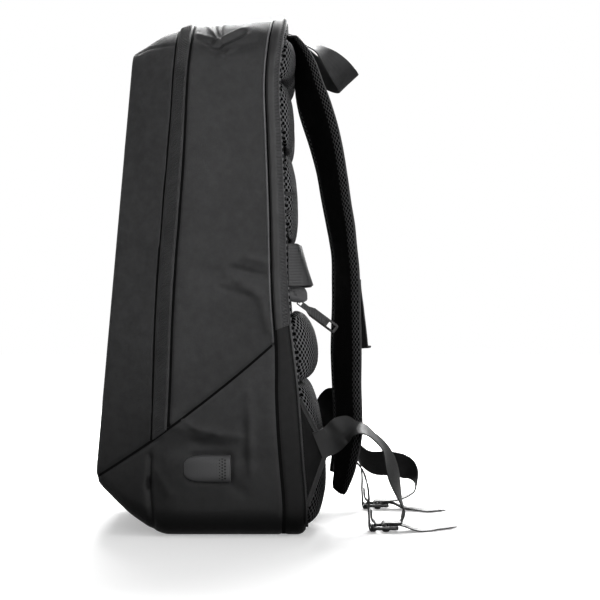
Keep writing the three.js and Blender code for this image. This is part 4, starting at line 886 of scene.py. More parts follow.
def outlet_rubber(color):
    """Housing rubber, with rows of grip dimples that fade away from the mouth, painted near-black as painted shade in
    the pits.
    """
    material, tree, shader = new_material("outlet_plastic", grey(color), 0.5, 0.45)
    place = object_place(tree)
    parts = add_node(tree, "ShaderNodeSeparateXYZ", {}, place)
    y, z = parts.outputs[1], parts.outputs[2]
    from_mouth = math_node(tree, "SUBTRACT", OUTLET_FRONT + OUTLET_LENGTH - 4.6 * MM, y)
    over = math_node(tree, "SUBTRACT", z, OUTLET_RISE)
    distance = math_node(tree, "MINIMUM", to_dot(tree, from_mouth, over, 0),
                         to_dot(tree, from_mouth, over, 0.5))
    size = ramp_node(tree, from_mouth, 1.5 * MM, 9 * MM, 0.9 * MM, 0.15 * MM)
    dot = math_node(tree, "LESS_THAN", distance, size)
    past = math_node(tree, "GREATER_THAN", from_mouth, -1.2 * MM)
    high = math_node(tree, "LESS_THAN", math_node(tree, "ABSOLUTE", over), OUTLET_WIDTH / 2 - 2.2 * MM)
    dot = math_node(tree, "MULTIPLY", math_node(tree, "MULTIPLY", dot, past), high)
    out = math_node(tree, "GREATER_THAN", parts.outputs[0], 100 * MM)
    dot = math_node(tree, "MULTIPLY", dot, out)
    # The dimples are painted near-black: painted shade in the pits.
    tree.links.new(shaded(tree, dot, grey(color), grey(0.002)), shader.inputs["Base Color"])
    grain = noise_node(tree, place, 1600, 2)
    soft = bump_node(tree, grain, 0.03 * MM)
    pits = bump_node(tree, math_node(tree, "SUBTRACT", 1.0, dot), 0.5 * MM, 1.0, soft)
    tree.links.new(pits, shader.inputs["Normal"])
    return material


def to_dot(tree, along, over, shift):
    """Distance from the nearest dot, in rows and columns shifted by a share of their pitch."""
    shifted_along = math_node(tree, "ADD", along, shift * DOT_COLUMNS)
    shifted_over = math_node(tree, "ADD", over, shift * DOT_ROWS)
    sides = add_node(
        tree, "ShaderNodeCombineXYZ", {},
        math_node(tree, "PINGPONG", shifted_along, DOT_COLUMNS / 2),
        math_node(tree, "PINGPONG", shifted_over, DOT_ROWS / 2), 0.0,
    )
    return add_node(tree, "ShaderNodeVectorMath", {"operation": "LENGTH"}, sides.outputs[0]).outputs["Value"]


DOT_COLUMNS = 4.9 * MM
DOT_ROWS = 2.65 * MM



def rings_of(node, corners):
    """The rings of points that a CAD node's skin is made of, from one end to the other."""
    solid = bmesh.new()
    solid.from_mesh(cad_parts[node].data)
    bmesh.ops.remove_doubles(solid, verts=solid.verts, dist=1e-6)
    ends = [v for v in solid.verts if len(v.link_edges) == corners
            and all(len(e.other_vert(v).link_edges) == 5 for e in v.link_edges)]
    ends.sort(key=lambda v: -v.co.z)
    seen, ring, rings = {ends[0]}, [ends[0]], []
    while ring:
        ring = list({e.other_vert(v) for v in ring for e in v.link_edges} - seen)
        seen.update(ring)
        if len(ring) == corners:
            rings.append(np.array([v.co for v in ring], float))
    solid.free()
    return rings


def line_of(node, corners):
    """Middle, way across, half width and thickness of a CAD strap at each of its rings."""
    middles, wides, halves, thicks = [], [], [], []
    for ring in rings_of(node, corners):
        middle = ring.mean(0)
        wide = np.linalg.svd(ring - middle)[2][0]
        if wides and wide @ wides[-1] < 0:
            wide = -wide
        if not wides and wide[0] < 0:
            wide = -wide
        spread = np.sort(np.abs((ring - middle) @ wide))
        rest = (ring - middle) - np.outer((ring - middle) @ wide, wide)
        middles.append(middle)
        wides.append(wide)
        halves.append(spread[-1])
        thicks.append(2 * np.linalg.norm(rest, axis=1).max())
    return np.array(middles), np.array(wides), np.array(halves), np.array(thicks)


def resampled(line, step):
    """The same line with its stations a step apart, with the way that it runs and faces."""
    middles, wides, halves, thicks = line
    gaps = np.linalg.norm(np.diff(middles, axis=0), axis=1)
    keep = np.concatenate([[True], gaps > 1e-6])
    middles, wides, halves, thicks = middles[keep], wides[keep], halves[keep], thicks[keep]
    length = np.concatenate([[0], np.cumsum(np.linalg.norm(np.diff(middles, axis=0), axis=1))])
    places = np.linspace(0, length[-1], max(int(length[-1] / step), 8) + 1)
    along = lambda values: np.stack(
        [rows_at(np.stack([length, values[:, i]], 1), places) for i in range(3)], 1)
    centre = along(middles)
    wide = along(wides)
    run = np.gradient(centre, axis=0)
    run /= np.linalg.norm(run, axis=1, keepdims=True)
    wide -= run * np.sum(wide * run, axis=1, keepdims=True)
    wide /= np.linalg.norm(wide, axis=1, keepdims=True)
    face = np.cross(wide, run)
    half = np.interp(places, length, halves)
    thick = np.interp(places, length, thicks)
    return centre, wide, face, half, thick, places


def closed_strip(name, centre, wide, face, half, thick, places, profile):
    """A strap whose profile is pairs of share across and share of half the thickness out. Its
    two ends are closed flat."""
    across, out = np.array(profile).T
    points = (
        centre[:, None]
        + wide[:, None] * (half[:, None] * across)[..., None]
        + face[:, None] * (thick[:, None] / 2 * out)[..., None]
    )
    flat = centre[:, None] + wide[:, None] * (half[:, None] * across)[..., None]
    points = np.concatenate([flat[:1], points, flat[-1:]])
    places = np.concatenate([places[:1], places, places[-1:]])
    edge = np.concatenate([[0], np.cumsum(np.hypot(np.diff(across) * half.max(), np.diff(out) * thick.max() / 2))])
    uv = np.stack(np.broadcast_arrays(edge[None, :], places[:, None]), -1)
    piece = cloth_sheet(name, points, uv)
    close_doubles(piece, 0.02 * MM)
    return piece


def web_profile(cells=12):
    """Flat webbing with full round edges: from one edge over the front face and back under."""
    t = np.linspace(-1, 1, cells + 1)
    front = [(x * 0.985, 1 - 0.12 * (abs(x) > 0.9)) for x in t]
    back = [(x * 0.985, -1 + 0.12 * (abs(x) > 0.9)) for x in t[::-1]]
    loop = [*front, (1, 0), *back, (-1, 0)]
    return [*loop, loop[0]]


def webbing(name, node, material, slot="webbing", step=1.5 * MM):
    line = resampled(line_of(node, 4), step)
    piece = closed_strip(name, *line, web_profile())
    return finish_piece(piece, "bag", material, slot, node)


def pad_profile():
    """A padded strap: flat inner face, full round edges and outer face."""
    count = 56
    turn = 2 * math.pi * (np.arange(count + 1)) / count - math.pi / 2
    across = np.sign(np.cos(turn)) * np.abs(np.cos(turn)) ** 0.62
    out = np.sign(np.sin(turn)) * np.abs(np.sin(turn)) ** 0.6
    return list(zip(across, out))


STRAP_ZONES = (9, 15)  # first profile step of the mesh and of the binding


def strap_zone(step):
    """Finish of a step of the strap's profile: 0 mesh, 1 near-black lining as painted shade, 2 binding."""
    away = min(step, 56 - step)
    return 1 if away < STRAP_ZONES[0] else 0 if away < STRAP_ZONES[1] else 2


def shoulder_strap(side, mesh, painted_shade_lining, binding):
    """A padded strap: near-black cloth on its inner face, painted shade where its mesh lies in the bag's shadow; mesh
    over its edge; and cloth sewn round outside.
    """
    node = f"shoulder_strap_{side}"
    line = resampled(line_of(node, 12), 2.0 * MM)
    profile = pad_profile()
    piece = closed_strip(f"{node}_padding", *line, profile)
    for material in (mesh, painted_shade_lining, binding):
        piece.data.materials.append(material)
    across = np.cumsum(np.hypot(np.diff([p[0] for p in profile]) * line[3].max(),
                                np.diff([p[1] for p in profile]) * line[4].max() / 2))
    layer = piece.data.uv_layers.active.data
    for polygon in piece.data.polygons:
        middle = np.mean([layer[i].uv[0] for i in polygon.loop_indices])
        polygon.material_index = strap_zone(int(np.searchsorted(across, middle)))
    turned_outward(piece)
    finish_piece(piece, "bag", None, "air_mesh", node)
    return piece


def copy_of(node, name):
    """A clean copy of a CAD node's mesh, to be shaped further."""
    deselect()
    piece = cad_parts[node].copy()
    piece.data = piece.data.copy()
    piece.name = name
    piece.data.name = name
    for key in list(piece.keys()):
        del piece[key]
    bpy.context.scene.collection.objects.link(piece)
    piece.parent = None
    close_doubles(piece, 0.001 * MM)
    return piece


def mirrored_copy(piece, name):
    """The left one of a pair."""
    twin = piece.copy()
    twin.data = piece.data.copy()
    twin.name = name
    twin.data.name = name
    bpy.context.scene.collection.objects.link(twin)
    for note in list(twin.keys()):
        del twin[note]
    points = places_of(twin)
    points[:, 0] *= -1
    set_places(twin, points)
    make_active(twin)
    bpy.ops.object.mode_set(mode="EDIT")
    bpy.ops.mesh.select_all(action="SELECT")
    bpy.ops.mesh.flip_normals()
    bpy.ops.object.mode_set(mode="OBJECT")
    return twin


def places_of(piece):
    points = np.zeros(3 * len(piece.data.vertices))
    piece.data.vertices.foreach_get("co", points)
    return points.reshape(-1, 3)


def set_places(piece, points):
    piece.data.vertices.foreach_set("co", points.reshape(-1).astype(np.float32))
    piece.data.update()


def swell(piece, fixed, cap):
    """Blows a closed cloth up as its foam does. Its fixed points stay, and none goes past the cap."""
    before = places_of(piece)
    group = piece.vertex_groups.new(name="sewn")
    group.add([int(i) for i in np.nonzero(fixed)[0]], 1.0, "REPLACE")
    cloth = piece.modifiers.new("foam", "CLOTH")
    cloth.settings.use_pressure = True
    cloth.settings.uniform_pressure_force = 4
    cloth.settings.vertex_group_mass = group.name
    cloth.settings.effector_weights.gravity = 0
    cloth.point_cache.frame_start = 1
    cloth.point_cache.frame_end = 20
    for step in range(1, 21):
        bpy.context.scene.frame_set(step)
    shape = piece.evaluated_get(bpy.context.evaluated_depsgraph_get()).to_mesh()
    after = np.zeros(3 * len(shape.vertices))
    shape.vertices.foreach_get("co", after)
    move = after.reshape(-1, 3) - before
    piece.modifiers.remove(cloth)
    bpy.context.scene.frame_set(1)
    piece.vertex_groups.clear()
    length = np.maximum(np.linalg.norm(move, axis=1, keepdims=True), 1e-9)
    set_places(piece, before + move * np.minimum(1, cap / length))


PAD_VOXEL = 4 * MM
PAD_START = 0.86  # share of the foam's height that a pad starts from


PAD_PROUD = [0.8 * MM, 0.8 * MM, 0.8 * MM, 1.8 * MM, 1.2 * MM]  # of the solid's dome, from the bottom


def back_pad(number, mesh):
    """One pad of foam under mesh: swollen by simulation, then pressed in along its sewn edge."""
    node = f"back_pad_{number}_right"
    piece = copy_of(node, f"{node}_padding")
    solid = places_of(piece)
    levels = sorted(set(np.round(solid[:, 2], 5)))
    backs = [solid[np.abs(solid[:, 2] - level) < 2e-5, 1].min() for level in levels]
    back = lambda z: np.interp(z, levels, backs)
    tallest = (solid[:, 1] - back(solid[:, 2])).max() + PAD_PROUD[number - 1]
    box_low, box_high = solid.min(0), solid.max(0)
    remesh = piece.modifiers.new("cloth", "REMESH")
    remesh.mode = "VOXEL"
    remesh.voxel_size = PAD_VOXEL
    apply_all(piece)
    points = places_of(piece)
    out = points[:, 1] - back(points[:, 2])
    points[:, 1] = back(points[:, 2]) + out * PAD_START
    set_places(piece, points)
    swell(piece, out < 1.6 * MM, 6 * MM)
    points = places_of(piece)
    middle = (box_low + box_high) / 2
    spread = (points[:, [0, 2]] - middle[[0, 2]]).__abs__().max(0)
    points[:, [0, 2]] = middle[[0, 2]] + (points[:, [0, 2]] - middle[[0, 2]]) * (
        (box_high - box_low)[[0, 2]] / 2 / spread)
    out = points[:, 1] - back(points[:, 2])
    out = np.maximum(out, 0) * tallest / out.max()
    points[:, 1] = back(points[:, 2]) + out
    set_places(piece, points)
    smooth = piece.modifiers.new("finer", "SUBSURF")
    smooth.levels = smooth.render_levels = 1
    apply_all(piece)
    pucker_edge(piece, box_low, box_high, back)
    lay_cloth(piece, box_low, box_high)
    finish_piece(piece, "bag", mesh, "air_mesh", node)
    twin = mirrored_copy(piece, f"back_pad_{number}_left_padding")
    finish_piece(twin, "bag", mesh, "air_mesh", f"back_pad_{number}_left")


def pucker_edge(piece, low, high, back):
    """Small gathers where the mesh is sewn down round a pad, dying out over its dome."""
    points = places_of(piece)
    across = np.minimum(points[:, 0] - low[0], high[0] - points[:, 0])
    along = np.minimum(points[:, 2] - low[2], high[2] - points[:, 2])
    turn = np.where(across < along, points[:, 2], points[:, 0])
    inward = np.minimum(across, along)
    gather = 0.35 * MM * np.sin(turn * 2 * math.pi / (9.5 * MM)) * np.exp(-((inward / (9 * MM)) ** 2))
    out = points[:, 1] - back(points[:, 2])
    points[:, 1] += gather * np.clip(out / (3 * MM), 0, 1)
    set_places(piece, points)


def lay_cloth(piece, low, high):
    """Maps the mesh cloth over a pad: along its height, and across it by the way over the dome."""
    points = places_of(piece)
    x_step, z_step = 2 * MM, 4 * MM
    columns = np.arange(low[0] - x_step, high[0] + 2 * x_step, x_step)
    rows = np.arange(low[2] - z_step, high[2] + 2 * z_step, z_step)
    column = np.rint((points[:, 0] - columns[0]) / x_step).astype(int)
    row = np.rint((points[:, 2] - rows[0]) / z_step).astype(int)
    dome = np.full((len(rows), len(columns)), -1.0)
    np.maximum.at(dome, (row, column), points[:, 1])
    base = points[:, 1].min()
    for line in dome:
        known = line > 0
        line[:] = np.interp(columns, columns[known], line[known]) if known.any() else base
    over = np.hypot(x_step, np.diff(dome, axis=1, prepend=dome[:, :1]))
    over = np.cumsum(over, axis=1)
    over -= over[:, len(columns) // 2][:, None]
    at_row = (points[:, 2] - rows[0]) / z_step
    at_column = (points[:, 0] - columns[0]) / x_step
    side = np.sign(points[:, 0] - (low[0] + high[0]) / 2)
    wall = np.maximum(between(dome, at_row, at_column) - points[:, 1], 0)
    across = between(over, at_row, at_column) + side * wall
    layer = piece.data.uv_layers.active or piece.data.uv_layers.new(name="UVMap")
    corners = np.zeros(len(piece.data.loops), np.int32)
    piece.data.loops.foreach_get("vertex_index", corners)
    cloth = np.stack([across, points[:, 2]], 1)[corners]
    layer.data.foreach_set("uv", cloth.astype(np.float32).reshape(-1))


def between(grid, row, column):
    """A grid's values at places between its points."""
    r = np.clip(row.astype(int), 0, grid.shape[0] - 2)
    c = np.clip(column.astype(int), 0, grid.shape[1] - 2)
    fr, fc = np.clip(row - r, 0, 1), np.clip(column - c, 0, 1)
    near = grid[r, c] * (1 - fc) + grid[r, c + 1] * fc
    far = grid[r + 1, c] * (1 - fc) + grid[r + 1, c + 1] * fc
    return near * (1 - fr) + far * fr


WING_X = 145 * MM
WING_THICK = 2.4 * MM


def side_wing(material, binding):
    """Three-cornered gusset, softly creased, whose free edge is bound with cloth tape."""
    node = "side_wing_right"
    solid = places_of(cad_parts[node])
    tip = solid[solid[:, 1].argmax()]
    foot = solid[solid[:, 2].argmin()]
    head = solid[solid[:, 2].argmax()]
    z = np.linspace(foot[2] + 0.5 * MM, head[2] - 0.5 * MM, 65)
    root = back_seam_y(z) - 2.5 * MM
    edge = np.interp(z, [foot[2], tip[2] - 4 * MM, tip[2] + 2 * MM, head[2]],
                     [foot[1], tip[1] - 1.2 * MM, tip[1] - 0.6 * MM, head[1]])
    edge = np.maximum(edge, root + 3 * MM)
    share = np.linspace(0, 1, 25)
    y = root[:, None] + (edge - root)[:, None] * share[None, :]
    fold = 0.5 + 0.5 * np.sin(2 * math.pi * (1.9 * share[None, :] + 0.25 * np.sin(z[:, None] / (22 * MM))))
    x = WING_X - 0.5 * MM - 0.9 * MM * fold * np.sin(math.pi * share[None, :])
    x = x + 3.6 * MM * (1 - share[None, :]) ** 2.5
    points = np.stack([x, y, z[:, None] + 0 * y], -1)
    wing = cloth_sheet("side_wing_right_cloth", points, points[..., [1, 2]])
    thicken(wing, WING_THICK)
    finish_piece(wing, "bag", material, "shell_fabric", node)
    bound = bound_edge("side_wing_right_binding", points[:, -1], binding)
    for piece, name in ((wing, "side_wing_left_cloth"), (bound, "side_wing_left_binding")):
        twin = mirrored_copy(piece, name)
        if piece is wing:
            finish_piece(twin, "bag", material, "shell_fabric", "side_wing_left")
        else:
            finish_piece(twin, "bag", binding, "webbing")


def bound_edge(name, line, material):
    """Tape folded over a free edge, with a stitched groove along its middle."""
    gap = np.linalg.norm(np.diff(line, axis=0), axis=1)
    places = np.concatenate([[0], np.cumsum(gap)])
    even = np.linspace(0, places[-1], 60)
    centre = np.stack([rows_at(np.stack([places, line[:, i]], 1), even) for i in range(3)], 1)
    centre[:, 0] = WING_X - 1.6 * MM
    run = np.gradient(centre, axis=0)
    run /= np.linalg.norm(run, axis=1, keepdims=True)
    face = np.broadcast_to([1.0, 0, 0], run.shape)
    wide = np.cross(run, face)
    profile = [(-1, 0), (-0.94, 0.8), (-0.35, 1), (0, 0.72), (0.35, 1), (0.9, 0.85), (1, 0),
               (0.9, -0.85), (0.35, -1), (0, -0.72), (-0.35, -1), (-0.94, -0.8), (-1, 0)]
    centre = centre - wide * 1.2 * MM * np.sign(wide[:, 1:2])
    half, thick = np.full(60, 2.1 * MM), np.full(60, 3.4 * MM)
    piece = closed_strip(name, centre, wide, face, half, thick, even, profile)
    return finish_piece(piece, "bag", material, "webbing")


def pocket_hood(material):
    """Rain flap over the pocket's zip, a rounded fold of cloth whose ends are sewn shut."""
    rise = 0.4522 * HEIGHT
    seat = back_seam_y(np.array(rise + 13 * MM)) + BACK_PROUD + 0.3 * MM
    half, deep, high = 128 * MM, 16.6 * MM, 12.8 * MM
    side = [1, 0.9975, 0.99, 0.978, 0.9765, 0.966, 0.955]
    ends = [0.02, 0.45, 0.78, 0.97, 1, 1, 1]
    curl = [1, 1, 1, 1, 0.98, 0.12, 0]
    middle = list(np.linspace(0.94, -0.94, 61))
    places = np.array([*side, *middle, *[-s for s in side[::-1]]]) * half
    grow = np.array([*ends, *[1.0] * 61, *ends[::-1]])
    under = np.array([*curl, *[0.0] * 61, *curl[::-1]])
    arc = np.linspace(0, math.pi / 2, 15)
    out_y = deep * np.sin(arc) ** 0.62
    out_z = 1 * MM + high * np.cos(arc) ** 0.62
    lip_y, lip_z = out_y[-1], out_z[-1]
    open_y = lip_y - np.array([0.5, 0.9, 1.2, 1.4, 1.5]) * MM
    open_z = lip_z + np.array([-0.25, -0.3, -0.1, 0.3, 0.8]) * MM
    shut_y = lip_y - np.array([0.6, 2.6, 6, 11, 15.8]) * MM
    shut_z = lip_z + np.array([-1.4, -2.6, -3.2, -3.0, -2.0]) * MM
    points = np.zeros((len(places), 20, 3))
    for i, (x, size, shut) in enumerate(zip(places, grow, under)):
        y = np.concatenate([out_y, open_y + (shut_y - open_y) * shut])
        z = np.concatenate([out_z, open_z + (shut_z - open_z) * shut])
        hang = 0.4 * MM * math.sin(x / (17 * MM))
        points[i, :, 0] = x
        points[i, :, 1] = seat + y * size + hang * np.sin(np.linspace(0, 3.1, 20)) * (size == 1)
        points[i, :, 2] = rise + 5 * MM + (z - 5 * MM) * size
    points[..., 1] = np.maximum(points[..., 1], back_seam_y(points[..., 2]) + BACK_PROUD + 0.3 * MM)
    arcs = np.cumsum(np.linalg.norm(np.diff(points[40], axis=0, prepend=points[40][:1]), axis=1))
    uv = np.stack(np.broadcast_arrays(arcs[None, :], places[:, None]), -1)
    hood = cloth_sheet("pocket_hood_cloth", points, uv)
    close_doubles(hood, 0.02 * MM)
    thicken(hood, 0.9 * MM)
    return finish_piece(hood, "bag", material, "shell_fabric", "pocket_flap")


def block(name, low, high, bevel, segments=2):
    """A moulded block with rounded edges."""
    deselect()
    middle = [(a + b) / 2 for a, b in zip(low, high)]
    bpy.ops.mesh.primitive_cube_add(size=1, location=(0, 0, 0))
    piece = bpy.context.active_object
    piece.name = name
    piece.data.name = name
    points = places_of(piece) * [b - a for a, b in zip(low, high)] + middle
    set_places(piece, points)
    if bevel:
        round_edges(piece, bevel, segments)
    return piece


def round_edges(piece, width, segments=2, angle=35):
    modifier = piece.modifiers.new("rounded", "BEVEL")
    modifier.width = width
    modifier.segments = segments
    modifier.limit_method = "ANGLE"
    modifier.angle_limit = math.radians(angle)
    modifier.harden_normals = False
    apply_all(piece)


def join(pieces, name):
    deselect()
    for piece in pieces:
        piece.select_set(True)
    bpy.context.view_layer.objects.active = pieces[0]
    bpy.ops.object.join()
    pieces[0].name = name
    pieces[0].data.name = name
    return pieces[0]


TOOTH_PITCH = 1.6 * MM


def pocket_zip_chain(cloth, plastic):
    """The pocket zip: two tapes with a row of moulded teeth where they meet."""
    low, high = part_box("pocket_zip")
    middle = (low[2] + high[2]) / 2
    tapes = [
        block("tape", (low[0], low[1] + 0.1 * MM, low[2]), (high[0], low[1] + 0.7 * MM, middle - 0.1 * MM), 0.1 * MM),
        block("tape", (low[0], low[1] + 0.1 * MM, middle + 0.1 * MM), (high[0], low[1] + 0.7 * MM, high[2]), 0.1 * MM),
    ]
    tape = join(tapes, "pocket_zip_tapes")
    finish_piece(tape, "bag", cloth, "ribbed_fabric", "pocket_zip")
    start = low[0] + 1.5 * MM
    tooth = block("pocket_zip_teeth", (start, low[1] + 0.5 * MM, middle - 1.4 * MM),
                  (start + 0.95 * MM, high[1] + 0.1 * MM, middle + 0.5 * MM), 0.16 * MM, 1)
    count = int((high[0] - low[0] - 3 * MM) / TOOTH_PITCH)
    upper = mirror_tooth(tooth, middle)
    for piece in (tooth, upper):
        row = piece.modifiers.new("row", "ARRAY")
        row.count = count
        row.use_relative_offset = False
        row.use_constant_offset = True
        row.constant_offset_displace = (TOOTH_PITCH, 0, 0)
        apply_all(piece)
    teeth = join([tooth, upper], "pocket_zip_teeth")
    finish_piece(teeth, "bag", plastic, "black_plastic")


def mirror_tooth(tooth, middle):
    twin = tooth.copy()
    twin.data = tooth.data.copy()
    bpy.context.scene.collection.objects.link(twin)
    points = places_of(twin)
    points[:, 2] = 2 * middle - points[:, 2]
    points[:, 0] += TOOTH_PITCH / 2
    set_places(twin, points)
    make_active(twin)
    bpy.ops.object.mode_set(mode="EDIT")
    bpy.ops.mesh.select_all(action="SELECT")
    bpy.ops.mesh.flip_normals()
    bpy.ops.object.mode_set(mode="OBJECT")
    return twin


def moulded(node, body, width, material, segments=2, slot="black_plastic"):
    """A hard part as drawn, with its edges softened as a mould leaves them."""
    piece = copy_of(node, f"{node}_moulded")
    make_active(piece)
    bpy.ops.object.mode_set(mode="EDIT")
    bpy.ops.mesh.select_all(action="SELECT")
    bpy.ops.mesh.dissolve_limited(angle_limit=math.radians(1))
    bpy.ops.object.mode_set(mode="OBJECT")
    round_edges(piece, width, segments)
    return finish_piece(piece, body, material, slot, node)


OUTLET_ROWS = np.array([
    # along, wide, high
    (0, 0.42, 0.16),
    (0.05, 0.66, 0.3),
    (0.14, 0.85, 0.46),
    (0.28, 0.96, 0.62),
    (0.5, 1, 0.79),
    (0.75, 1, 0.93),
    (1, 1, 1),
])
OUTLET_FRONT = -45.5 * MM
OUTLET_RISE = 60.4 * MM
OUTLET_LENGTH = 41 * MM
OUTLET_WIDTH = 23.5 * MM
OUTLET_HEIGHT = 11 * MM
MOUTH_DEPTH = 13 * MM
MOUTH_WALL = 2.3 * MM


def outlet_housing(material):
    """Domed rubber housing: over the dome to the mouth's rim, and in to the socket."""
    low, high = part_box("outlet_housing")
    seat = high[0] - OUTLET_HEIGHT
    root = seat - 5 * MM
    along = np.concatenate([[0, 0.004, 0.012, 0.025, 0.045], np.linspace(0.07, 0.985, 46), [0.992, 0.997, 1, 1]])
    shrink = np.concatenate([np.zeros(51), [0, 0.012, 0.05, 0.1]])
    wide = rows_at(OUTLET_ROWS[:, [0, 1]], along) * (1 - shrink)
    tall = rows_at(OUTLET_ROWS[:, [0, 2]], along) * (1 - shrink)
    turn = np.linspace(0, math.pi, 61)
    rows = []
    for place, w, h in zip(along, wide, tall):
        half = OUTLET_WIDTH / 2 * w
        z = half * np.sign(np.cos(turn)) * np.abs(np.cos(turn)) ** 0.55
        x = seat + 1 * MM + (OUTLET_HEIGHT * h - 1 * MM) * np.sin(turn) ** 0.55
        x = np.concatenate([[root, root], x, [root, root]])
        z = OUTLET_RISE + np.concatenate([[0, z[0]], z, [z[-1], 0]])
        rows.append(np.stack([x, OUTLET_FRONT + OUTLET_LENGTH * place + 0 * x, z], -1))
    tip = np.array([seat, OUTLET_FRONT, OUTLET_RISE])
    rows.insert(0, tip + 0 * rows[0])
    rim = rows[-1]
    centre = np.array([seat + OUTLET_HEIGHT / 2 + 0.6 * MM, rim[0, 1], OUTLET_RISE])
    mouth = mouth_outline(rim, centre)
    for share in (0.5, 0.9):
        rows.append(rim + (mouth - rim) * share)
    for back in (0, 0.35, 1, 4, 12.3):
        rows.append(mouth - [0, back * MM, 0])
    rows.append(centre - [0, 12.3 * MM, 0] + 0 * mouth)
    points = np.array(rows)
    housing = cloth_sheet("outlet_housing_dome", points, points[..., [1, 2]])
    close_doubles(housing, 0.01 * MM)
    turned_outward(housing)
    finish_piece(housing, "bag", material, "outlet_plastic", "outlet_housing")


def mouth_outline(rim, centre):
    """The mouth's opening, a rounded box, met from the rim's points."""
    half_x, half_z = 3.0 * MM, 6.7 * MM
    away = rim - centre
    angle = np.unwrap(np.arctan2(away[:, 0] / half_x, away[:, 2] / half_z))
    power = 0.35
    x = centre[0] + half_x * np.sign(np.sin(angle)) * np.abs(np.sin(angle)) ** power
    z = centre[2] + half_z * np.sign(np.cos(angle)) * np.abs(np.cos(angle)) ** power
    return np.stack([x, rim[:, 1], z], -1)


def turned_outward(piece):
    make_active(piece)
    bpy.ops.object.mode_set(mode="EDIT")
    bpy.ops.mesh.select_all(action="SELECT")
    bpy.ops.mesh.normals_make_consistent(inside=False)
    bpy.ops.object.mode_set(mode="OBJECT")

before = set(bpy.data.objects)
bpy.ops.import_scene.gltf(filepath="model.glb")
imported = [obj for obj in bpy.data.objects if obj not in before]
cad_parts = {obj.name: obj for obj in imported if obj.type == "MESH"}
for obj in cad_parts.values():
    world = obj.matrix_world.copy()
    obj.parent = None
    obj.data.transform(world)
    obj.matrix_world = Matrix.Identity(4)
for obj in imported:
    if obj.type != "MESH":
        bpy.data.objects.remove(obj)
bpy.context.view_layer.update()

camera = bpy.data.objects.new("camera", bpy.data.cameras.new("camera"))
bpy.context.scene.collection.objects.link(camera)
camera.location = (2.0, 0.0563, 0.2082)
camera.rotation_euler = (math.radians(90), 0, math.radians(90))
camera.data.lens = 126.54
camera.data.sensor_width = 36
camera.data.clip_end = 20
bpy.context.scene.camera = camera

# The share after the crumple depth darkens a cloth towards the floor as painted shade.
shell = woven_fabric("shell_fabric", 0.024, 0.55, 0.35, 0.9 * MM)
# The front panel's cloth is lighter than the shell's, as painted light on the front face.
front_cloth_painted_light = woven_fabric("front_fabric_painted_light", 0.033, 0.56, 0.3, 0.9 * MM, 0.25, 220 * MM)
boot_cloth = woven_fabric("boot_fabric", 0.029, 0.5, 0.3, 1.1 * MM, 0.25)
rear_cloth = woven_fabric("rear_fabric", 0.01, 0.55, 0.22, 0.9 * MM, 0.3)
wing_cloth = woven_fabric("wing_fabric", 0.006, 0.6, 0.12, 0.6 * MM)
# The straps' inner faces are near-black: painted shade where their mesh lies in shadow.
painted_shade_lining_cloth = woven_fabric("strap_painted_shade_lining", 0.003, 0.75, 0.08, 0.3 * MM)
edge_cloth = woven_fabric("binding_fabric", 0.028, 0.55, 0.35, 0.3 * MM)
# The hood is the shell's cloth, painted over three times lighter as painted light.
hood_cloth_painted_light = woven_fabric("hood_fabric_painted_light", 0.078, 0.5, 0.35, 0.5 * MM)
ribbed = ribbed_cloth()
pad_mesh = air_mesh("air_mesh", 0.17, on_cloth, 3.6 * MM, 1.5)
strap_mesh = air_mesh("strap_air_mesh", 0.045, on_cloth, 2.9 * MM, 1.6)
# Near-black: partly the zip tapes' own colour, partly painted shade in the seams' gaps.
zip_tape_and_painted_shade = woven_fabric("zip_tape_and_painted_shade", 0.002, 0.8, 0.1, 0.1 * MM)
# Light cord: piping on the back edge, and a painted highlight on the rear seam; darker towards the floor as painted
# shade.
piping_and_painted_highlight = woven_fabric("piping_and_painted_highlight", 0.12, 0.45, 0.4, 0.1 * MM, 0.1, 330 * MM)
rear_band = ribbed_band()
web = webbing_cloth("webbing", 0.02)
handle_web = webbing_cloth("handle_webbing", 0.03)
tape_web = webbing_cloth("binding_tape", 0.02)
plastic = moulded_plastic("black_plastic", 0.012, 0.42)
rubber = outlet_rubber(0.068)
band = band_cloth("trolley_webbing", 0.055)
grip = pull_plastic("pull_plastic", 0.04)
loop_web = webbing_cloth("adjuster_webbing", 0.012)

for side in ("right", "left"):
    shoulder_strap(side, strap_mesh, painted_shade_lining_cloth, edge_cloth)
    webbing(f"strap_webbing_{side}_web", f"strap_webbing_{side}", web)
    webbing(f"strap_tab_{side}_web", f"strap_tab_{side}", web)
    webbing(f"adjuster_webbing_{side}_web", f"adjuster_webbing_{side}", loop_web)
    moulded(f"ladder_lock_{side}", "bag", 0.6 * MM, plastic)
webbing("grab_handle_web", "grab_handle", handle_web)
webbing("trolley_band_web", "trolley_band", band)
for number in (1, 2, 3, 4, 5):
    back_pad(number, pad_mesh)
side_wing(wing_cloth, tape_web)
pocket_hood(hood_cloth_painted_light)
pocket_zip_chain(ribbed, plastic)
moulded("pocket_zip_slider", "bag", 0.25 * MM, plastic)
moulded("pocket_zip_pull", "zip_pull", 0.3 * MM, grip)
moulded("front_zip_pull", "bag", 0.5 * MM, plastic)
moulded("rear_zip_pull", "bag", 0.5 * MM, plastic)
moulded("outlet_socket", "bag", 0.12 * MM, plastic)
outlet_housing(rubber)
front_panel(front_cloth_painted_light)
main_gusset(shell)
boot_panel(boot_cloth)
laptop_gusset(rear_cloth)
back_board(pad_mesh)
zip_flaps(ribbed, rear_band)
seam_trims(zip_tape_and_painted_shade, piping_and_painted_highlight)



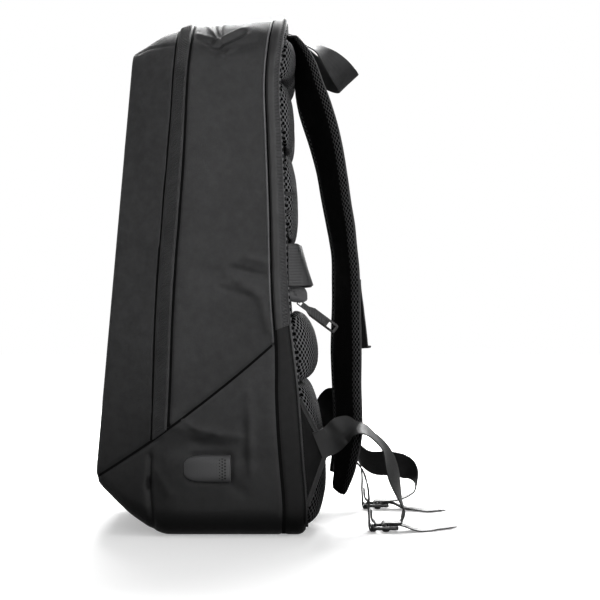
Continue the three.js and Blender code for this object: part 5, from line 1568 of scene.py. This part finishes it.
def studio_world():
    """White all round the bag's far side and above it, dimmer on the near side and below."""
    world = bpy.data.worlds.new("studio")
    bpy.context.scene.world = world
    world.use_nodes = True
    tree = world.node_tree
    way = add_node(tree, "ShaderNodeTexCoord", {}).outputs["Generated"]
    parts = add_node(tree, "ShaderNodeSeparateXYZ", {}, way)
    far = ramp_node(tree, parts.outputs[0], -0.9, -0.3, 1.0, NEAR_LIGHT)
    above = ramp_node(tree, parts.outputs[2], 0.55, 1.0, 0.0, TOP_LIGHT)
    below = ramp_node(tree, parts.outputs[2], -0.25, -0.05, BELOW_LIGHT, 1.0)
    sky = math_node(tree, "ADD", far, above)
    light = math_node(tree, "MULTIPLY", sky, below)
    seen = add_node(tree, "ShaderNodeLightPath", {}).outputs["Is Camera Ray"]
    light = math_node(tree, "MAXIMUM", light, seen)
    tree.links.new(light, tree.nodes["Background"].inputs["Strength"])
    tree.nodes["Background"].inputs["Color"].default_value = (1, 1, 1, 1)


NEAR_LIGHT = 0.15
TOP_LIGHT = 0.5
BELOW_LIGHT = 0.2
NEAR_GLOW = 0.33
FAR_GLOW = 0.7


SIDE_SPREAD = math.radians(50)


def lamp(name, size, energy, place, aim, spread=math.pi):
    light = bpy.data.objects.new(name, bpy.data.lights.new(name, "AREA"))
    bpy.context.scene.collection.objects.link(light)
    light.data.shape = "RECTANGLE"
    light.data.size, light.data.size_y = size
    light.data.energy = energy
    light.data.spread = spread
    light.location = place
    towards = Vector(aim) - Vector(place)
    light.rotation_euler = towards.to_track_quat("-Z", "Y").to_euler()
    return light


studio_world()
lamp("back_light", (1.0, 1.6), 110, (-1.5, 0.1, 1.35), (0, 0, 0.4))
lamp("side_light", (0.7, 0.7), 1.3, (1.05, 0.28, 0.4), (0.15, 0, 0.33), SIDE_SPREAD)
lamp("rim_light", (0.5, 0.5), 3.6, (0.6, 1.2, 0.8), (0.1, 0, 0.3))
lamp("front_light", (0.8, 1.2), 3.5, (-0.1, -1.5, 0.5), (0, -0.1, 0.3))
deselect()
bpy.ops.mesh.primitive_plane_add(size=12, location=(0, 0, -0.0002))
floor = bpy.context.active_object
floor.name = "floor"
floor_white, tree, shader = new_material("floor", (0.8, 0.8, 0.8), 1.0, 0)
shader.inputs["Emission Color"].default_value = (1, 1, 1, 1)
across = add_node(tree, "ShaderNodeVectorMath", {"operation": "LENGTH"}, object_place(tree)).outputs["Value"]
glow = ramp_node(tree, across, 0.45, 1.3, NEAR_GLOW, FAR_GLOW)
tree.links.new(glow, shader.inputs["Emission Strength"])
floor.data.materials.append(floor_white)
floor.visible_diffuse = False
floor.visible_glossy = False
bpy.context.scene.view_settings.view_transform = "Standard"
